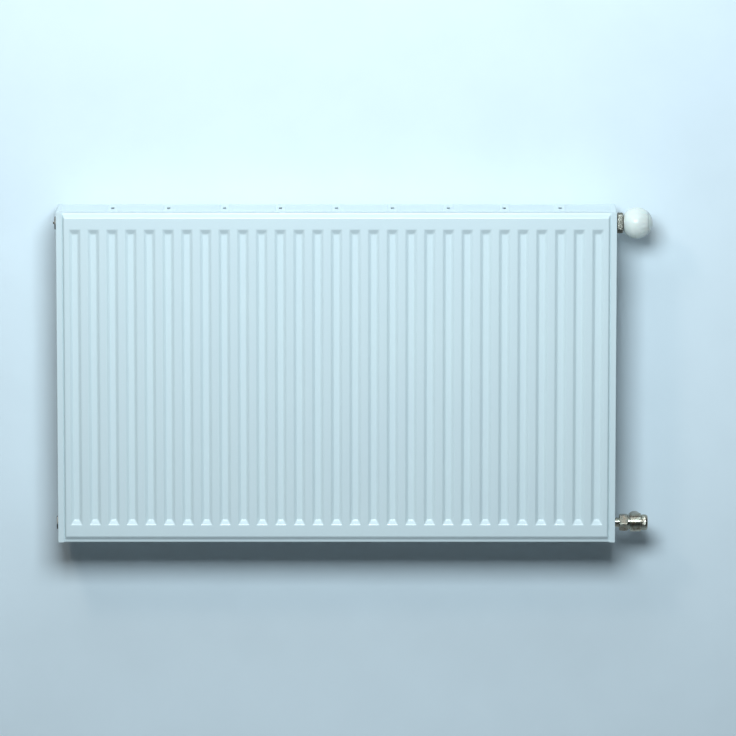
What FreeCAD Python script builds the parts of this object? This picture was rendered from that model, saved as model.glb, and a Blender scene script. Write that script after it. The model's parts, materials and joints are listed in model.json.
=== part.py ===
"""Double-panel steel radiator with a built-in thermostatic valve and a lockshield return valve.

Row frame, in millimetres: the origin is the centre of the four wall-fixing holes, on the wall plane.
+X runs along the radiator to the valve end, +Y points into the wall and +Z is up.
"""
import FreeCAD, Part
import os
import Sketcher
from FreeCAD import Placement, Rotation, Vector

os.makedirs("parts", exist_ok=True)
doc = FreeCAD.newDocument("panel_radiator")

# Each driving size has one cell: its alias, its value in millimetres and what it measures.
SIZES = [
    ("panel_height", 600, "height over the seam flanges and the grille"),
    ("panel_length", 1000, "length over both side covers"),
    ("radiator_depth", 100, "front face to rear face"),
    ("wall_gap", 35, "wall to the rear face"),
    ("sheet_thickness", 1.2, "steel of the water panels"),
    ("flute_pitch", 33.3333, "spacing of the pressed vertical flutes"),
    ("flute_width", 20, "flute width at the panel face"),
    ("flute_depth", 5.6, "face to flute floor"),
    ("flute_side_run", 5, "sideways run of a flute's sloping side"),
    ("count_slack", 0.01, "share of a pitch forgiven when a row is counted"),
    ("flute_end_run", 12, "upward run of a flute's sloping end"),
    ("header_height", 32, "panel edge to the flute mouth, holding the header channel"),
    ("shoulder_run", 6, "run of the rounded shoulder along the top and bottom"),
    ("shoulder_side_run", 2.5, "run of the shoulder at the ends"),
    ("seam_flange", 4.5, "height of the flat welded seam"),
    ("cover_thickness", 1, "sheet of the side covers and the grille"),
    ("cover_lip", 10, "width of a side cover's front lip"),
    ("cover_hem", 3.5, "depth of the hem on the lip"),
    ("cover_gap", 1.5, "gap between a cover and the panel beside it"),
    ("cover_port_radius", 17, "round cut-outs around the four connections"),
    ("hub_inset", 27, "panel edge to the connection axes"),
    ("tee_inset", 30, "end of the radiator to the centre of a tee"),
    ("tee_radius", 14, "outside of a tee"),
    ("tee_recess", 3, "tee mouth set back inside the cover"),
    ("port_radius", 9.3, "half-inch connection bore"),
    ("thread_clearance", 0.05, "radial gap of a screwed shank in its bore"),
    ("water_bore_radius", 8, "bore across a tee into both panels"),
    ("convector_depth", 31, "depth of the corrugated fin"),
    ("convector_sheet", 0.5, "fin steel"),
    ("convector_crest", 12, "width of a fin's crest"),
    ("convector_web_step", 0.3, "sideways step that keeps a sloping web about a sheet thick"),
    ("convector_inset", 50, "panel edge to the fin's edge"),
    ("convector_end_inset", 75, "radiator end to the first fin, at least"),
    ("riser_inset", 64, "end of the radiator to the riser"),
    ("riser_radius", 7.5, "outside of the riser tube"),
    ("riser_wall", 1, "wall of the riser tube"),
    ("riser_stop", 1, "top of the riser to the housing's bore"),
    ("nipple_radius", 13.2, "three-quarter-inch male thread"),
    ("nipple_length", 14, "length of that thread"),
    ("nipple_collar_radius", 15, "collar above the thread"),
    ("nipple_collar", 10, "height of the collar"),
    ("seat_wall", 3, "partition with the valve seat"),
    ("seat_radius", 5, "hole in the valve seat"),
    ("seat_inset", 15, "tee centre to the seat face"),
    ("grille_skirt", 10, "depth of the grille's two skirts"),
    ("grille_skirt_gap", 2, "corner tube to the end of a skirt"),
    ("grille_module", 100, "length of one repeat of slots"),
    ("slot_length", 84, "length of one grille slot"),
    ("slot_width", 5.4, "width of one grille slot"),
    ("slot_pitch", 8.4, "spacing of the slots"),
    ("bridge_hole_length", 20, "oblong hole across each bridge, front to back"),
    ("bridge_hole_width", 6, "width of that hole"),
    ("clip_spacing", 600, "between the grille clips"),
    ("clip_length", 12, "length of a grille clip"),
    ("clip_height", 6, "height of a grille clip"),
    ("slide_clearance", 0.3, "gap between parts that pass each other"),
    ("bracket_spacing", 666.666, "between the two wall rails"),
    ("bracket_hole_rise", 440, "between a rail's two screw holes"),
    ("bracket_hole_radius", 4.25, "screw hole"),
    ("rail_width", 30, "width of a wall rail"),
    ("rail_height", 500, "height of a wall rail"),
    ("rail_depth", 13, "depth of a wall rail"),
    ("rail_steel", 2.5, "steel of the rail, hooks and lugs"),
    ("lug_reach", 18, "depth of a hanging lug behind the panel"),
    ("lug_width", 36, "outside width of a hanging lug"),
    ("lug_height", 40, "height of a hanging lug"),
    ("lug_rise", 200, "origin to the middle of a lug, up and down"),
    ("hook_width", 22, "width of a rail's hook"),
    ("hook_drop", 3, "gap between a lug and the hook's arm below it"),
    ("sleeve_wall", 1.5, "plastic sleeve on a hook"),
    ("plug_flats", 22, "across the flats of the plugs and the valve insert"),
    ("plug_head", 7.5, "thickness of a plug's head with its seal"),
    ("shank_length", 17, "screwed length in a tee"),
    ("seal_thickness", 1.6, "flat seals under heads"),
    ("seal_radius", 13, "outside of the flat seals"),
    ("small_chamfer", 1, "chamfer on turned edges"),
    ("vent_radius", 2.5, "vent screw"),
    ("vent_passage_radius", 1.25, "air passage inside the vent plug"),
    ("vent_seat_depth", 6, "inner end of the vent plug to the screw's seat"),
    ("vent_seat_gap", 1, "open gap between that seat and the screw"),
    ("vent_recess", 1, "screw's shoulder set back inside the plug's head"),
    ("vent_square", 3.4, "square end for the vent key"),
    ("vent_square_length", 3.5, "length of the square end"),
    ("stem_radius", 2, "valve stem"),
    ("running_clearance", 0.08, "radial gap of turning and sliding stems"),
    ("disc_radius", 7.5, "rubber valve disc"),
    ("disc_thickness", 3, "rubber valve disc"),
    ("disc_plate_radius", 6, "metal plate behind the rubber disc"),
    ("disc_plate", 1, "thickness of that plate"),
    ("valve_lift", 1.7, "open gap between seat and disc at the middle setting"),
    ("stem_tip", 1, "tapered tip of the stem"),
    ("stem_tip_radius", 1.5, "end of that tip"),
    ("stem_collar", 2, "collar of the stem that the spring pushes on"),
    ("spring_wire", 1, "wire of both springs"),
    ("spring_play", 0.1, "play of a spring between its seats"),
    ("spring_clearance", 0.6, "radial gap around the valve spring"),
    ("spring_floor_depth", 4, "inner end of the insert to the spring's floor"),
    ("spring_top_reach", 1, "tee mouth to the stem's collar"),
    ("valve_spring_radius", 4.3, "mean coil radius of the valve spring"),
    ("overload_spring_radius", 4.3, "mean coil radius of the spring behind the sensor"),
    ("insert_neck_radius", 12.75, "valve insert between its seal and its nose"),
    ("nose_radius", 14.75, "screwed nose that carries the thermostat"),
    ("nose_start", 2, "cover face to the nose"),
    ("nose_length", 8, "length of the nose"),
    ("ring_radius", 18.5, "knurled ring nut"),
    ("ring_length", 12, "length of the ring nut"),
    ("ring_gap", 1, "cover face to the ring nut"),
    ("ring_lip", 1.5, "lip that pulls the thermostat on"),
    ("neck_radius", 12.2, "thermostat neck inside the ring nut"),
    ("ball_radius", 28, "ball-shaped handwheel"),
    ("ball_wall", 2, "wall of the handwheel"),
    ("ball_mouth", 15, "cover face to the handwheel's mouth"),
    ("ball_mouth_radius", 16.8, "radius of the handwheel's mouth"),
    ("cap_height", 8.4, "height of the end cap's dome"),
    ("cap_joint", 0.4, "fine joint between handwheel and end cap"),
    ("cap_plug", 2, "depth of the end cap's plug"),
    ("sleeve_shoulder", 1, "shoulder of the fixed sleeve before the handwheel's mouth"),
    ("sleeve_radius", 14.5, "fixed sleeve inside the handwheel"),
    ("sleeve_end", 48, "cover face to the end of that sleeve"),
    ("hub_wall", 1.5, "handwheel tube around the sleeve"),
    ("hub_set_back", 3, "end of the sleeve to the end of that tube"),
    ("sensor_radius", 11, "liquid-filled sensor"),
    ("sensor_start", 22, "cover face to the sensor"),
    ("sensor_length", 20, "length of the sensor"),
    ("sensor_floor", 3, "floor of the fixed sleeve under the sensor"),
    ("rod_radius", 3, "sensor push rod"),
    ("rod_play", 0.1, "play between the push rod and the valve stem"),
    ("neck_length", 9, "lockshield tail outside the cover"),
    ("tail_radius", 8.5, "lockshield tail"),
    ("tail_bore", 6, "bore of the tail"),
    ("tail_collar_radius", 12, "collar that presses the tail's seal"),
    ("tail_collar", 2, "thickness of that collar"),
    ("tail_head", 3, "thickness of the tail's head inside the union nut"),
    ("tail_head_gap", 0.5, "radial gap around that head"),
    ("union_flats", 28, "across the flats of the union nut"),
    ("union_length", 16, "length of the union nut"),
    ("union_lip", 1.5, "lip of the union nut"),
    ("union_nipple_radius", 12, "screwed end inside the union nut"),
    ("union_neck", 3, "narrow neck after the union nut"),
    ("body_radius", 16.7, "lockshield body"),
    ("body_length", 20, "lockshield body"),
    ("chamber_radius", 7.5, "chamber inside the lockshield"),
    ("lockshield_seat", 2, "partition with the lockshield's seat"),
    ("outlet_radius", 12.5, "outlet boss towards the wall"),
    ("outlet_reach", 42, "lockshield axis to the outlet mouth"),
    ("passage_radius", 4.4, "passage from the chamber to the outlet"),
    ("outlet_thread", 14, "depth of the outlet thread"),
    ("gland_flats", 18, "across the flats of the gland"),
    ("gland_shank", 5, "screwed length of the gland"),
    ("gland_head", 4, "thickness of the gland's head"),
    ("gland_floor", 2, "inner end of the gland to its seal groove"),
    ("spindle_radius", 3.5, "lockshield spindle in its gland"),
    ("spindle_reach", 3, "spindle outside the gland's head"),
    ("spindle_seal_width", 1.8, "seal ring around the spindle"),
    ("spindle_seal_depth", 1.4, "radial depth of that ring"),
    ("seal_play", 0.1, "play of the ring in its groove"),
    ("seal_gap", 0.02, "radial gap between the ring and the spindle"),
    ("key_flats", 4, "hexagon socket in the spindle"),
    ("key_depth", 4, "depth of that socket"),
    ("cone_radius", 5.6, "lockshield cone"),
    ("cone_length", 8, "lockshield cone"),
    ("cone_gap", 2.3, "chamber floor to the cone at the middle setting"),
    ("cone_tip_radius", 4.1, "small end of the cone"),
    ("cone_taper", 2, "length of its taper"),
    ("cone_web", 1.2, "closed end of the cone"),
    ("spindle_tip_gap", 3.4, "small end of the cone to the spindle's tip"),
    ("lockshield_cap_radius", 14, "cap over the lockshield spindle"),
    ("lockshield_cap_length", 12, "cap over the lockshield spindle"),
    ("lockshield_cap_wall", 1.8, "wall of that cap"),
    ("lockshield_cap_chamfer", 2, "chamfer at the end of that cap"),
    ("lockshield_cap_fit", 0.1, "gap between the cap and the gland's corners"),
]

sizes = doc.addObject("Spreadsheet::Sheet", "Sizes")
for row, (alias, amount, meaning) in enumerate(SIZES, start=1):
    sizes.set(f"A{row}", alias)
    sizes.set(f"B{row}", str(amount))
    sizes.set(f"C{row}", meaning)
    sizes.setAlias(f"B{row}", alias)
doc.recompute()


def use(text):
    """Returns expression text in which each alias is read from the sheet, in brackets."""
    words = sorted((alias for alias, amount, meaning in SIZES), key=len, reverse=True)
    tokens = []
    word = ""
    for letter in text + " ":
        if letter.isalnum() or letter in "_.":
            word += letter
            continue
        tokens.append("Sizes." + word if word in words else word)
        tokens.append(letter)
        word = ""
    return "(" + "".join(tokens).strip() + ")"


def amount_of(expression):
    """Works an expression out, so that a sketch starts at its final shape."""
    return float(sizes.evalExpression(expression))


# Places that several pieces share, as expression text.
HALF_LENGTH = use("panel_length / 2")
HALF_HEIGHT = use("panel_height / 2")
REAR_FACE = use("wall_gap")
FRONT_FACE = use("wall_gap + radiator_depth")
MIDDLE_DEPTH = use("wall_gap + radiator_depth / 2")
PANEL_THICKNESS = use("2 * (flute_depth + sheet_thickness)")
FRONT_SEAM = use(f"{FRONT_FACE} - {PANEL_THICKNESS} / 2")
INNER_GAP = use(f"radiator_depth - 2 * {PANEL_THICKNESS}")
HUB_RISE = use("panel_height / 2 - hub_inset")
TEE_CENTRE = use("panel_length / 2 - tee_inset")
TEE_MOUTH = use("panel_length / 2 - tee_recess")
FLUTE_COUNT = use("floor(panel_length / flute_pitch + count_slack) - 1")
PANEL_END = use("panel_length / 2 - cover_thickness - cover_gap")
FACE_END = use("panel_length / 2 - cover_lip - cover_gap")
RISER_PLACE = use("panel_length / 2 - riser_inset")
SEAT_FACE = use(f"{TEE_CENTRE} - seat_inset")
SHANK_RADIUS = use("port_radius - thread_clearance")


def new_body(label):
    """Starts one piece as a body in the row frame."""
    body = doc.addObject("PartDesign::Body", label)
    body.Label = label
    return body


def place(body, turn=0, along_x=None, along_y=None, along_z=None):
    """Turns a piece about the vertical and binds its place to the sheet."""
    body.Placement = Placement(Vector(0, 0, 0), Rotation(Vector(0, 0, 1), turn))
    for axis, expression in (("x", along_x), ("y", along_y), ("z", along_z)):
        if expression is not None:
            body.setExpression(f"Placement.Base.{axis}", expression)


def new_sketch(body, role, lift=None):
    """Attaches a sketch to one of the body's own origin planes, lifted along its normal."""
    sketch = body.newObject("Sketcher::SketchObject", body.Label + "_sketch")
    plane = [feature for feature in body.Origin.OriginFeatures if feature.Role == role][0]
    sketch.AttachmentSupport = [(plane, "")]
    sketch.MapMode = "FlatFace"
    if lift is not None:
        sketch.setExpression("AttachmentOffset.Base.z", use(lift))
    return sketch


def bind(sketch, kind, side, end, expression):
    """Ties one end of a side to the sketch's origin by an expression."""
    value = amount_of(expression)
    if expression == "(0)":
        line = -1 if kind == "DistanceY" else -2
        sketch.addConstraint(Sketcher.Constraint("PointOnObject", side, end, line))
        return
    number = sketch.addConstraint(Sketcher.Constraint(kind, -1, 1, side, end, value))
    sketch.setExpression(f"Constraints[{number}]", expression)


POLE = "pole"


def outline(sketch, corners, arcs=None):
    """Draws a closed outline through the corners, given as pairs of sizes.

    arcs gives, for a side by its number, the place of its centre on the first axis, its radius and
    its sense. A corner that lies on an arc has no second size, or POLE where the arc meets the axis.
    """
    arcs = arcs or {}
    first_side = sketch.GeometryCount
    texts = [(use(across), up if up in (None, POLE) else use(up)) for across, up in corners]
    points = []
    for number, (across, up) in enumerate(texts):
        if up == POLE:
            points.append(Vector(amount_of(across), 0, 0))
            continue
        if up is not None:
            points.append(Vector(amount_of(across), amount_of(up), 0))
            continue
        centre, radius, sense = arcs[number] if number in arcs else arcs[number - 1]
        reach = amount_of(across) - amount_of(use(centre))
        points.append(Vector(amount_of(across), (amount_of(use(radius)) ** 2 - reach ** 2) ** 0.5, 0))
    count = len(points)
    for number in range(count):
        start, end = points[number], points[(number + 1) % count]
        if number in arcs:
            centre, radius, sense = arcs[number]
            hub = Vector(amount_of(use(centre)), 0, 0)
            circle = Part.Circle(hub, Vector(0, 0, 1), amount_of(use(radius)))
            ends = (start, end) if sense == "left" else (end, start)
            span = [circle.parameter(point) for point in ends]
            sketch.addGeometry(Part.ArcOfCircle(circle, span[0], span[1]), False)
        else:
            sketch.addGeometry(Part.LineSegment(start, end), False)

    def tip(number, last):
        """The end of a side that meets its corner: an arc drawn the other way has its ends swapped."""
        swapped = number in arcs and arcs[number][2] == "right"
        return (1 if swapped else 2) if last else (2 if swapped else 1)

    for number in range(count):
        after = (number + 1) % count
        joint = Sketcher.Constraint(
            "Coincident", first_side + number, tip(number, True), first_side + after, tip(after, False))
        sketch.addConstraint(joint)
    for number, (across, up) in enumerate(texts):
        if up == POLE:
            bind(sketch, "DistanceY", first_side + number, tip(number, False), "(0)")
            continue
        bind(sketch, "DistanceX", first_side + number, tip(number, False), across)
        if up is not None:
            bind(sketch, "DistanceY", first_side + number, tip(number, False), up)
    for number, (centre, radius, sense) in arcs.items():
        side = first_side + number
        sketch.addConstraint(Sketcher.Constraint("PointOnObject", side, 3, -1))
        bind(sketch, "DistanceX", side, 3, use(centre))
        size = sketch.addConstraint(Sketcher.Constraint("Radius", side, amount_of(use(radius))))
        sketch.setExpression(f"Constraints[{size}]", use(radius))


def rectangle(sketch, low_x, high_x, low_y, high_y):
    """Draws a rectangle between four sizes."""
    outline(sketch, [(low_x, low_y), (high_x, low_y), (high_x, high_y), (low_x, high_y)])


def disc(sketch, centre_x, centre_y, radius):
    """Draws a circle at a place given by two sizes."""
    middle = Vector(amount_of(use(centre_x)), amount_of(use(centre_y)), 0)
    size = amount_of(use(radius))
    side = sketch.addGeometry(Part.Circle(middle, Vector(0, 0, 1), size), False)
    bind(sketch, "DistanceX", side, 3, use(centre_x))
    bind(sketch, "DistanceY", side, 3, use(centre_y))
    number = sketch.addConstraint(Sketcher.Constraint("Radius", side, size))
    sketch.setExpression(f"Constraints[{number}]", use(radius))


def hexagon(sketch, flats):
    """Draws a regular hexagon about the origin from its size across the flats."""
    corners = []
    for number in range(6):
        angle = f"{60 * number} deg"
        reach = f"{flats} / 2 / cos(30 deg)"
        corners.append((f"{reach} * cos({angle})", f"{reach} * sin({angle})"))
    outline(sketch, corners)


def pad(body, sketch, length, both_ways=False, backwards=False):
    """Extrudes a sketch into solid."""
    feature = body.newObject("PartDesign::Pad", body.Label + "_pad")
    feature.Profile = sketch
    feature.setExpression("Length", use(length))
    feature.SideType = "Symmetric" if both_ways else "One side"
    feature.Reversed = backwards
    sketch.Visibility = False
    return feature


def pocket(body, sketch, length=None, both_ways=False, backwards=False):
    """Cuts a sketch out of the solid, right through unless a depth is given."""
    feature = body.newObject("PartDesign::Pocket", body.Label + "_pocket")
    feature.Profile = sketch
    feature.SideType = "Symmetric" if both_ways else "One side"
    if length is None:
        feature.Type = "ThroughAll"
    else:
        feature.setExpression("Length", use(length))
    feature.Reversed = backwards
    return feature


def loft(body, kind, low_sketch, high_sketch):
    """Joins two sketches by a loft that adds or removes material."""
    feature = body.newObject("PartDesign::" + kind, body.Label + "_loft")
    feature.Profile = low_sketch
    feature.Sections = [high_sketch]
    feature.Ruled = True
    return feature


def row_of(body, originals, sketch, pitch, count, direction="H_Axis", backwards=False):
    """Repeats features along a sketch's axis and makes the row the body's tip."""
    feature = body.newObject("PartDesign::LinearPattern", body.Label + "_row")
    feature.Originals = originals
    feature.Direction = (sketch, [direction])
    feature.Mode = "Spacing"
    feature.Reversed = backwards
    feature.setExpression("Offset", use(pitch))
    feature.setExpression("Occurrences", use(count))
    body.Tip = feature
    return feature


def turned(label, corners, arcs=None, turn=0, height=HUB_RISE):
    """Makes a piece turned about an axis along X; corners are (place along X, radius)."""
    body = new_body(label)
    sketch = new_sketch(body, "XZ_Plane")
    outline(sketch, corners, arcs)
    feature = body.newObject("PartDesign::Revolution", label + "_turning")
    feature.Profile = sketch
    feature.ReferenceAxis = (sketch, ["H_Axis"])
    feature.Angle = 360
    place(body, turn, along_y="-" + MIDDLE_DEPTH, along_z=height)
    return body


def tube_corners(start, end, inner, outer):
    """Corners of a plain ring or tube along X."""
    return [(start, inner), (end, inner), (end, outer), (start, outer)]


def mirrored(label, source, normal, base_axis=None, base=None):
    """Makes the mirror image of a piece, about a plane through the origin or at a bound place."""
    image = doc.addObject("Part::Mirroring", label)
    image.Label = label
    image.Source = source
    image.Normal = normal
    if base is not None:
        image.setExpression("Base." + base_axis, base)
    return image


# ---------------------------------------------------------------- pressed water panels

def wall_shift(run):
    """Sideways thickness of the steel on a slope that runs sideways over the flute depth."""
    return f"sheet_thickness * sqrt(({run})^2 + flute_depth^2) / flute_depth"


def slope_step(run):
    """How far a slope moves sideways over one sheet thickness."""
    return f"({run}) * sheet_thickness / flute_depth"


def sheet_outline(sketch, inset_x, inset_z):
    """A rectangle inside the shoulder's foot, by an inset at the ends and one above and below."""
    half_x = f"{FACE_END} - ({inset_x})"
    half_z = f"{HALF_HEIGHT} - seam_flange - ({inset_z})"
    rectangle(sketch, f"-({half_x})", half_x, f"-({half_z})", half_z)


def flute_outline(sketch, centre, grow_x, grow_z):
    """A flute's outline at one depth, grown from its mouth by two sizes."""
    half_x = f"flute_width / 2 + ({grow_x})"
    half_z = f"{HALF_HEIGHT} - header_height + ({grow_z})"
    rectangle(sketch, f"{centre} - ({half_x})", f"{centre} + {half_x}", f"-({half_z})", half_z)


def pressed_sheet(label, left_out):
    """One pressed sheet of a water panel, seam plane on its own XZ plane, bulging towards -Y.

    left_out flutes are missing at each end, where the tees need a flat landing.
    """
    body = new_body(label)
    side, end = "shoulder_side_run", "shoulder_run"
    flange = new_sketch(body, "XZ_Plane")
    top = f"{HALF_HEIGHT} - cover_thickness"
    rectangle(flange, f"-{PANEL_END}", PANEL_END, f"-{HALF_HEIGHT}", top)
    pad(body, flange, "sheet_thickness")

    foot = new_sketch(body, "XZ_Plane", "sheet_thickness")
    sheet_outline(foot, "0", "0")
    face = new_sketch(body, "XZ_Plane", "sheet_thickness + flute_depth")
    sheet_outline(face, side, end)
    loft(body, "AdditiveLoft", foot, face)

    hollow_foot = new_sketch(body, "XZ_Plane")
    sheet_outline(hollow_foot, f"{wall_shift(side)} - {slope_step(side)}",
                  f"{wall_shift(end)} - {slope_step(end)}")
    hollow_head = new_sketch(body, "XZ_Plane", "flute_depth")
    sheet_outline(hollow_head, f"{side} - {slope_step(side)} + {wall_shift(side)}",
                  f"{end} - {slope_step(end)} + {wall_shift(end)}")
    loft(body, "SubtractiveLoft", hollow_foot, hollow_head)

    count = f"{FLUTE_COUNT} - 2 * {left_out}"
    first = f"-({count} - 1) / 2 * flute_pitch"
    side, end = "flute_side_run", "flute_end_run"
    land_low = new_sketch(body, "XZ_Plane")
    flute_outline(land_low, first, f"{wall_shift(side)} - {slope_step(side)} - {side}",
                  f"{wall_shift(end)} - {slope_step(end)} - {end}")
    land_high = new_sketch(body, "XZ_Plane", "flute_depth")
    flute_outline(land_high, first, f"{wall_shift(side)} - {slope_step(side)}",
                  f"{wall_shift(end)} - {slope_step(end)}")
    land = loft(body, "AdditiveLoft", land_low, land_high)

    floor = new_sketch(body, "XZ_Plane", "sheet_thickness")
    flute_outline(floor, first, f"-{side}", f"-{end}")
    mouth = new_sketch(body, "XZ_Plane", "sheet_thickness + flute_depth")
    flute_outline(mouth, first, "0", "0")
    flute = loft(body, "SubtractiveLoft", floor, mouth)
    row_of(body, [land, flute], flange, "flute_pitch", count)
    return body


def drill_water_holes(body):
    """Cuts the four holes that lead from the tees into a panel."""
    sketch = new_sketch(body, "XZ_Plane")
    for side in ("-", ""):
        for rise in ("-", ""):
            disc(sketch, side + TEE_CENTRE, rise + HUB_RISE, "water_bore_radius")
    body.Tip = pocket(body, sketch, both_ways=True)


def water_panels():
    """Front panel from two pressed sheets; the rear panel is its mirror image."""
    outer = pressed_sheet("front_panel_outer_sheet", 0)
    place(outer, along_y="-" + FRONT_SEAM)
    inner = pressed_sheet("front_panel_inner_sheet", 1)
    drill_water_holes(inner)
    place(inner, turn=180, along_y="-" + FRONT_SEAM)
    middle = "-" + MIDDLE_DEPTH
    return [
        outer,
        inner,
        mirrored("rear_panel_inner_sheet", inner, Vector(0, 1, 0), "y", middle),
        mirrored("rear_panel_outer_sheet", outer, Vector(0, 1, 0), "y", middle),
    ]


def convectors():
    """Corrugated fins on the front panel's inner face, and their mirror image on the rear panel."""
    body = new_body("front_convector")
    sketch = new_sketch(body, "XY_Plane")
    room = "panel_length - 2 * convector_end_inset"
    count = use(f"floor(({room}) / flute_pitch + count_slack)")
    half_crest = "convector_crest / 2"
    half_pitch = "flute_pitch / 2"
    depth, steel = "convector_depth", "convector_sheet"
    web = "convector_web_step"
    start = f"-{count} / 2 * flute_pitch"
    outline(sketch, [
        (start, "0"),
        (f"{start} + {half_crest}", "0"),
        (f"{start} + {half_pitch} - {half_crest} + {web}", f"{depth} - {steel}"),
        (f"{start} + {half_pitch} + {half_crest} - {web}", f"{depth} - {steel}"),
        (f"{start} + flute_pitch - {half_crest}", "0"),
        (f"{start} + flute_pitch", "0"),
        (f"{start} + flute_pitch", steel),
        (f"{start} + flute_pitch - {half_crest} + {web}", steel),
        (f"{start} + {half_pitch} + {half_crest}", depth),
        (f"{start} + {half_pitch} - {half_crest}", depth),
        (f"{start} + {half_crest} - {web}", steel),
        (start, steel),
    ])
    fin = pad(body, sketch, "panel_height - 2 * convector_inset", both_ways=True)
    row_of(body, [fin], sketch, "flute_pitch", count)
    place(body, along_y=use(f"{PANEL_THICKNESS} - {FRONT_FACE}"))
    return [body, mirrored("rear_convector", body, Vector(0, 1, 0), "y", "-" + MIDDLE_DEPTH)]


# ---------------------------------------------------------------- corner connections

def cross_tube(body):
    """Adds the tube that joins both panels and bores it, with its axis at the tee's centre."""
    sketch = new_sketch(body, "XZ_Plane")
    disc(sketch, TEE_CENTRE, "0", "tee_radius")
    pad(body, sketch, INNER_GAP, both_ways=True)
    bore = new_sketch(body, "XZ_Plane")
    disc(bore, TEE_CENTRE, "0", "water_bore_radius")
    pocket(body, bore, both_ways=True)


def mouth_bore(body, depth):
    """Bores the threaded mouth along X."""
    sketch = new_sketch(body, "YZ_Plane", TEE_MOUTH)
    disc(sketch, "0", "0", "port_radius")
    body.Tip = pocket(body, sketch, depth)


def connection_tee(label, turn, height):
    """A plain corner tee: its mouth faces out of the radiator's end."""
    corners = tube_corners(TEE_CENTRE, TEE_MOUTH, "port_radius", "tee_radius")
    body = turned(label, corners, turn=turn, height=height)
    cross_tube(body)
    mouth_bore(body, f"{TEE_MOUTH} - {TEE_CENTRE}")
    return body


def built_in_valve_housing():
    """The tee at the valve end, with an inlet chamber, a seat wall and the riser's socket."""
    chamber_start = f"{RISER_PLACE} - tee_radius + sheet_thickness"
    body = turned("valve_housing", [
        (f"{RISER_PLACE} - tee_radius", "0"),
        (chamber_start, "0"),
        (chamber_start, "port_radius"),
        (f"{SEAT_FACE} - seat_wall", "port_radius"),
        (f"{SEAT_FACE} - seat_wall", "seat_radius"),
        (SEAT_FACE, "seat_radius"),
        (SEAT_FACE, "port_radius"),
        (TEE_MOUTH, "port_radius"),
        (TEE_MOUTH, "tee_radius"),
        (f"{RISER_PLACE} - tee_radius", "tee_radius"),
    ])
    cross_tube(body)
    mouth_bore(body, f"{TEE_MOUTH} - {SEAT_FACE}")
    socket = new_sketch(body, "XY_Plane", "-tee_radius")
    disc(socket, RISER_PLACE, "0", "riser_radius + thread_clearance")
    body.Tip = pocket(body, socket, "tee_radius", backwards=True)
    return body


def supply_riser():
    """The nipple under the radiator and the tube that leads up to the valve housing."""
    bottom = f"-{HALF_HEIGHT}"
    shoulder = f"{bottom} + nipple_length"
    top = f"{shoulder} + nipple_collar"
    bore = "riser_radius - riser_wall"
    nipple = new_body("supply_nipple")
    outline_sketch = new_sketch(nipple, "XZ_Plane")
    outline(outline_sketch, [
        (bore, bottom),
        ("nipple_radius", bottom),
        ("nipple_radius", shoulder),
        ("nipple_collar_radius", shoulder),
        ("nipple_collar_radius", top),
        ("riser_radius + thread_clearance", top),
        ("riser_radius + thread_clearance", shoulder),
        (bore, shoulder),
    ])
    turning = nipple.newObject("PartDesign::Revolution", "nipple_turning")
    turning.Profile = outline_sketch
    turning.ReferenceAxis = (outline_sketch, ["V_Axis"])
    turning.Angle = 360
    place(nipple, along_x=RISER_PLACE, along_y="-" + MIDDLE_DEPTH)

    tube = new_body("riser_tube")
    ring = new_sketch(tube, "XY_Plane", shoulder)
    disc(ring, "0", "0", "riser_radius")
    disc(ring, "0", "0", bore)
    pad(tube, ring, f"{HUB_RISE} - port_radius - riser_stop - ({shoulder})")
    place(tube, along_x=RISER_PLACE, along_y="-" + MIDDLE_DEPTH)
    return [nipple, tube]


# ---------------------------------------------------------------- covers and grille

def side_covers():
    """Folded end covers with a hemmed lip in front and behind, and cut-outs for the connections."""
    body = new_body("right_side_cover")
    sketch = new_sketch(body, "XY_Plane")
    outer = HALF_LENGTH
    plate = f"{HALF_LENGTH} - cover_thickness"
    lip = f"{HALF_LENGTH} - cover_lip"
    hem = f"{lip} + cover_thickness"
    half = "radiator_depth / 2"
    face = f"{half} - cover_thickness"
    tuck = f"{face} - cover_hem"
    front = [(outer, f"-{half}"), (outer, half)]
    back_lip = [(lip, half), (lip, tuck), (hem, tuck), (hem, face), (plate, face)]
    front_lip = [(across, f"-({deep})") for across, deep in reversed(back_lip)]
    outline(sketch, front + back_lip + front_lip)
    pad(body, sketch, "panel_height", both_ways=True)
    ports = new_sketch(body, "YZ_Plane", outer)
    disc(ports, "0", HUB_RISE, "cover_port_radius")
    disc(ports, "0", "-" + HUB_RISE, "cover_port_radius")
    body.Tip = pocket(body, ports, "2 * cover_thickness")
    place(body, along_y="-" + MIDDLE_DEPTH)
    return [body, mirrored("left_side_cover", body, Vector(1, 0, 0))]


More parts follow.
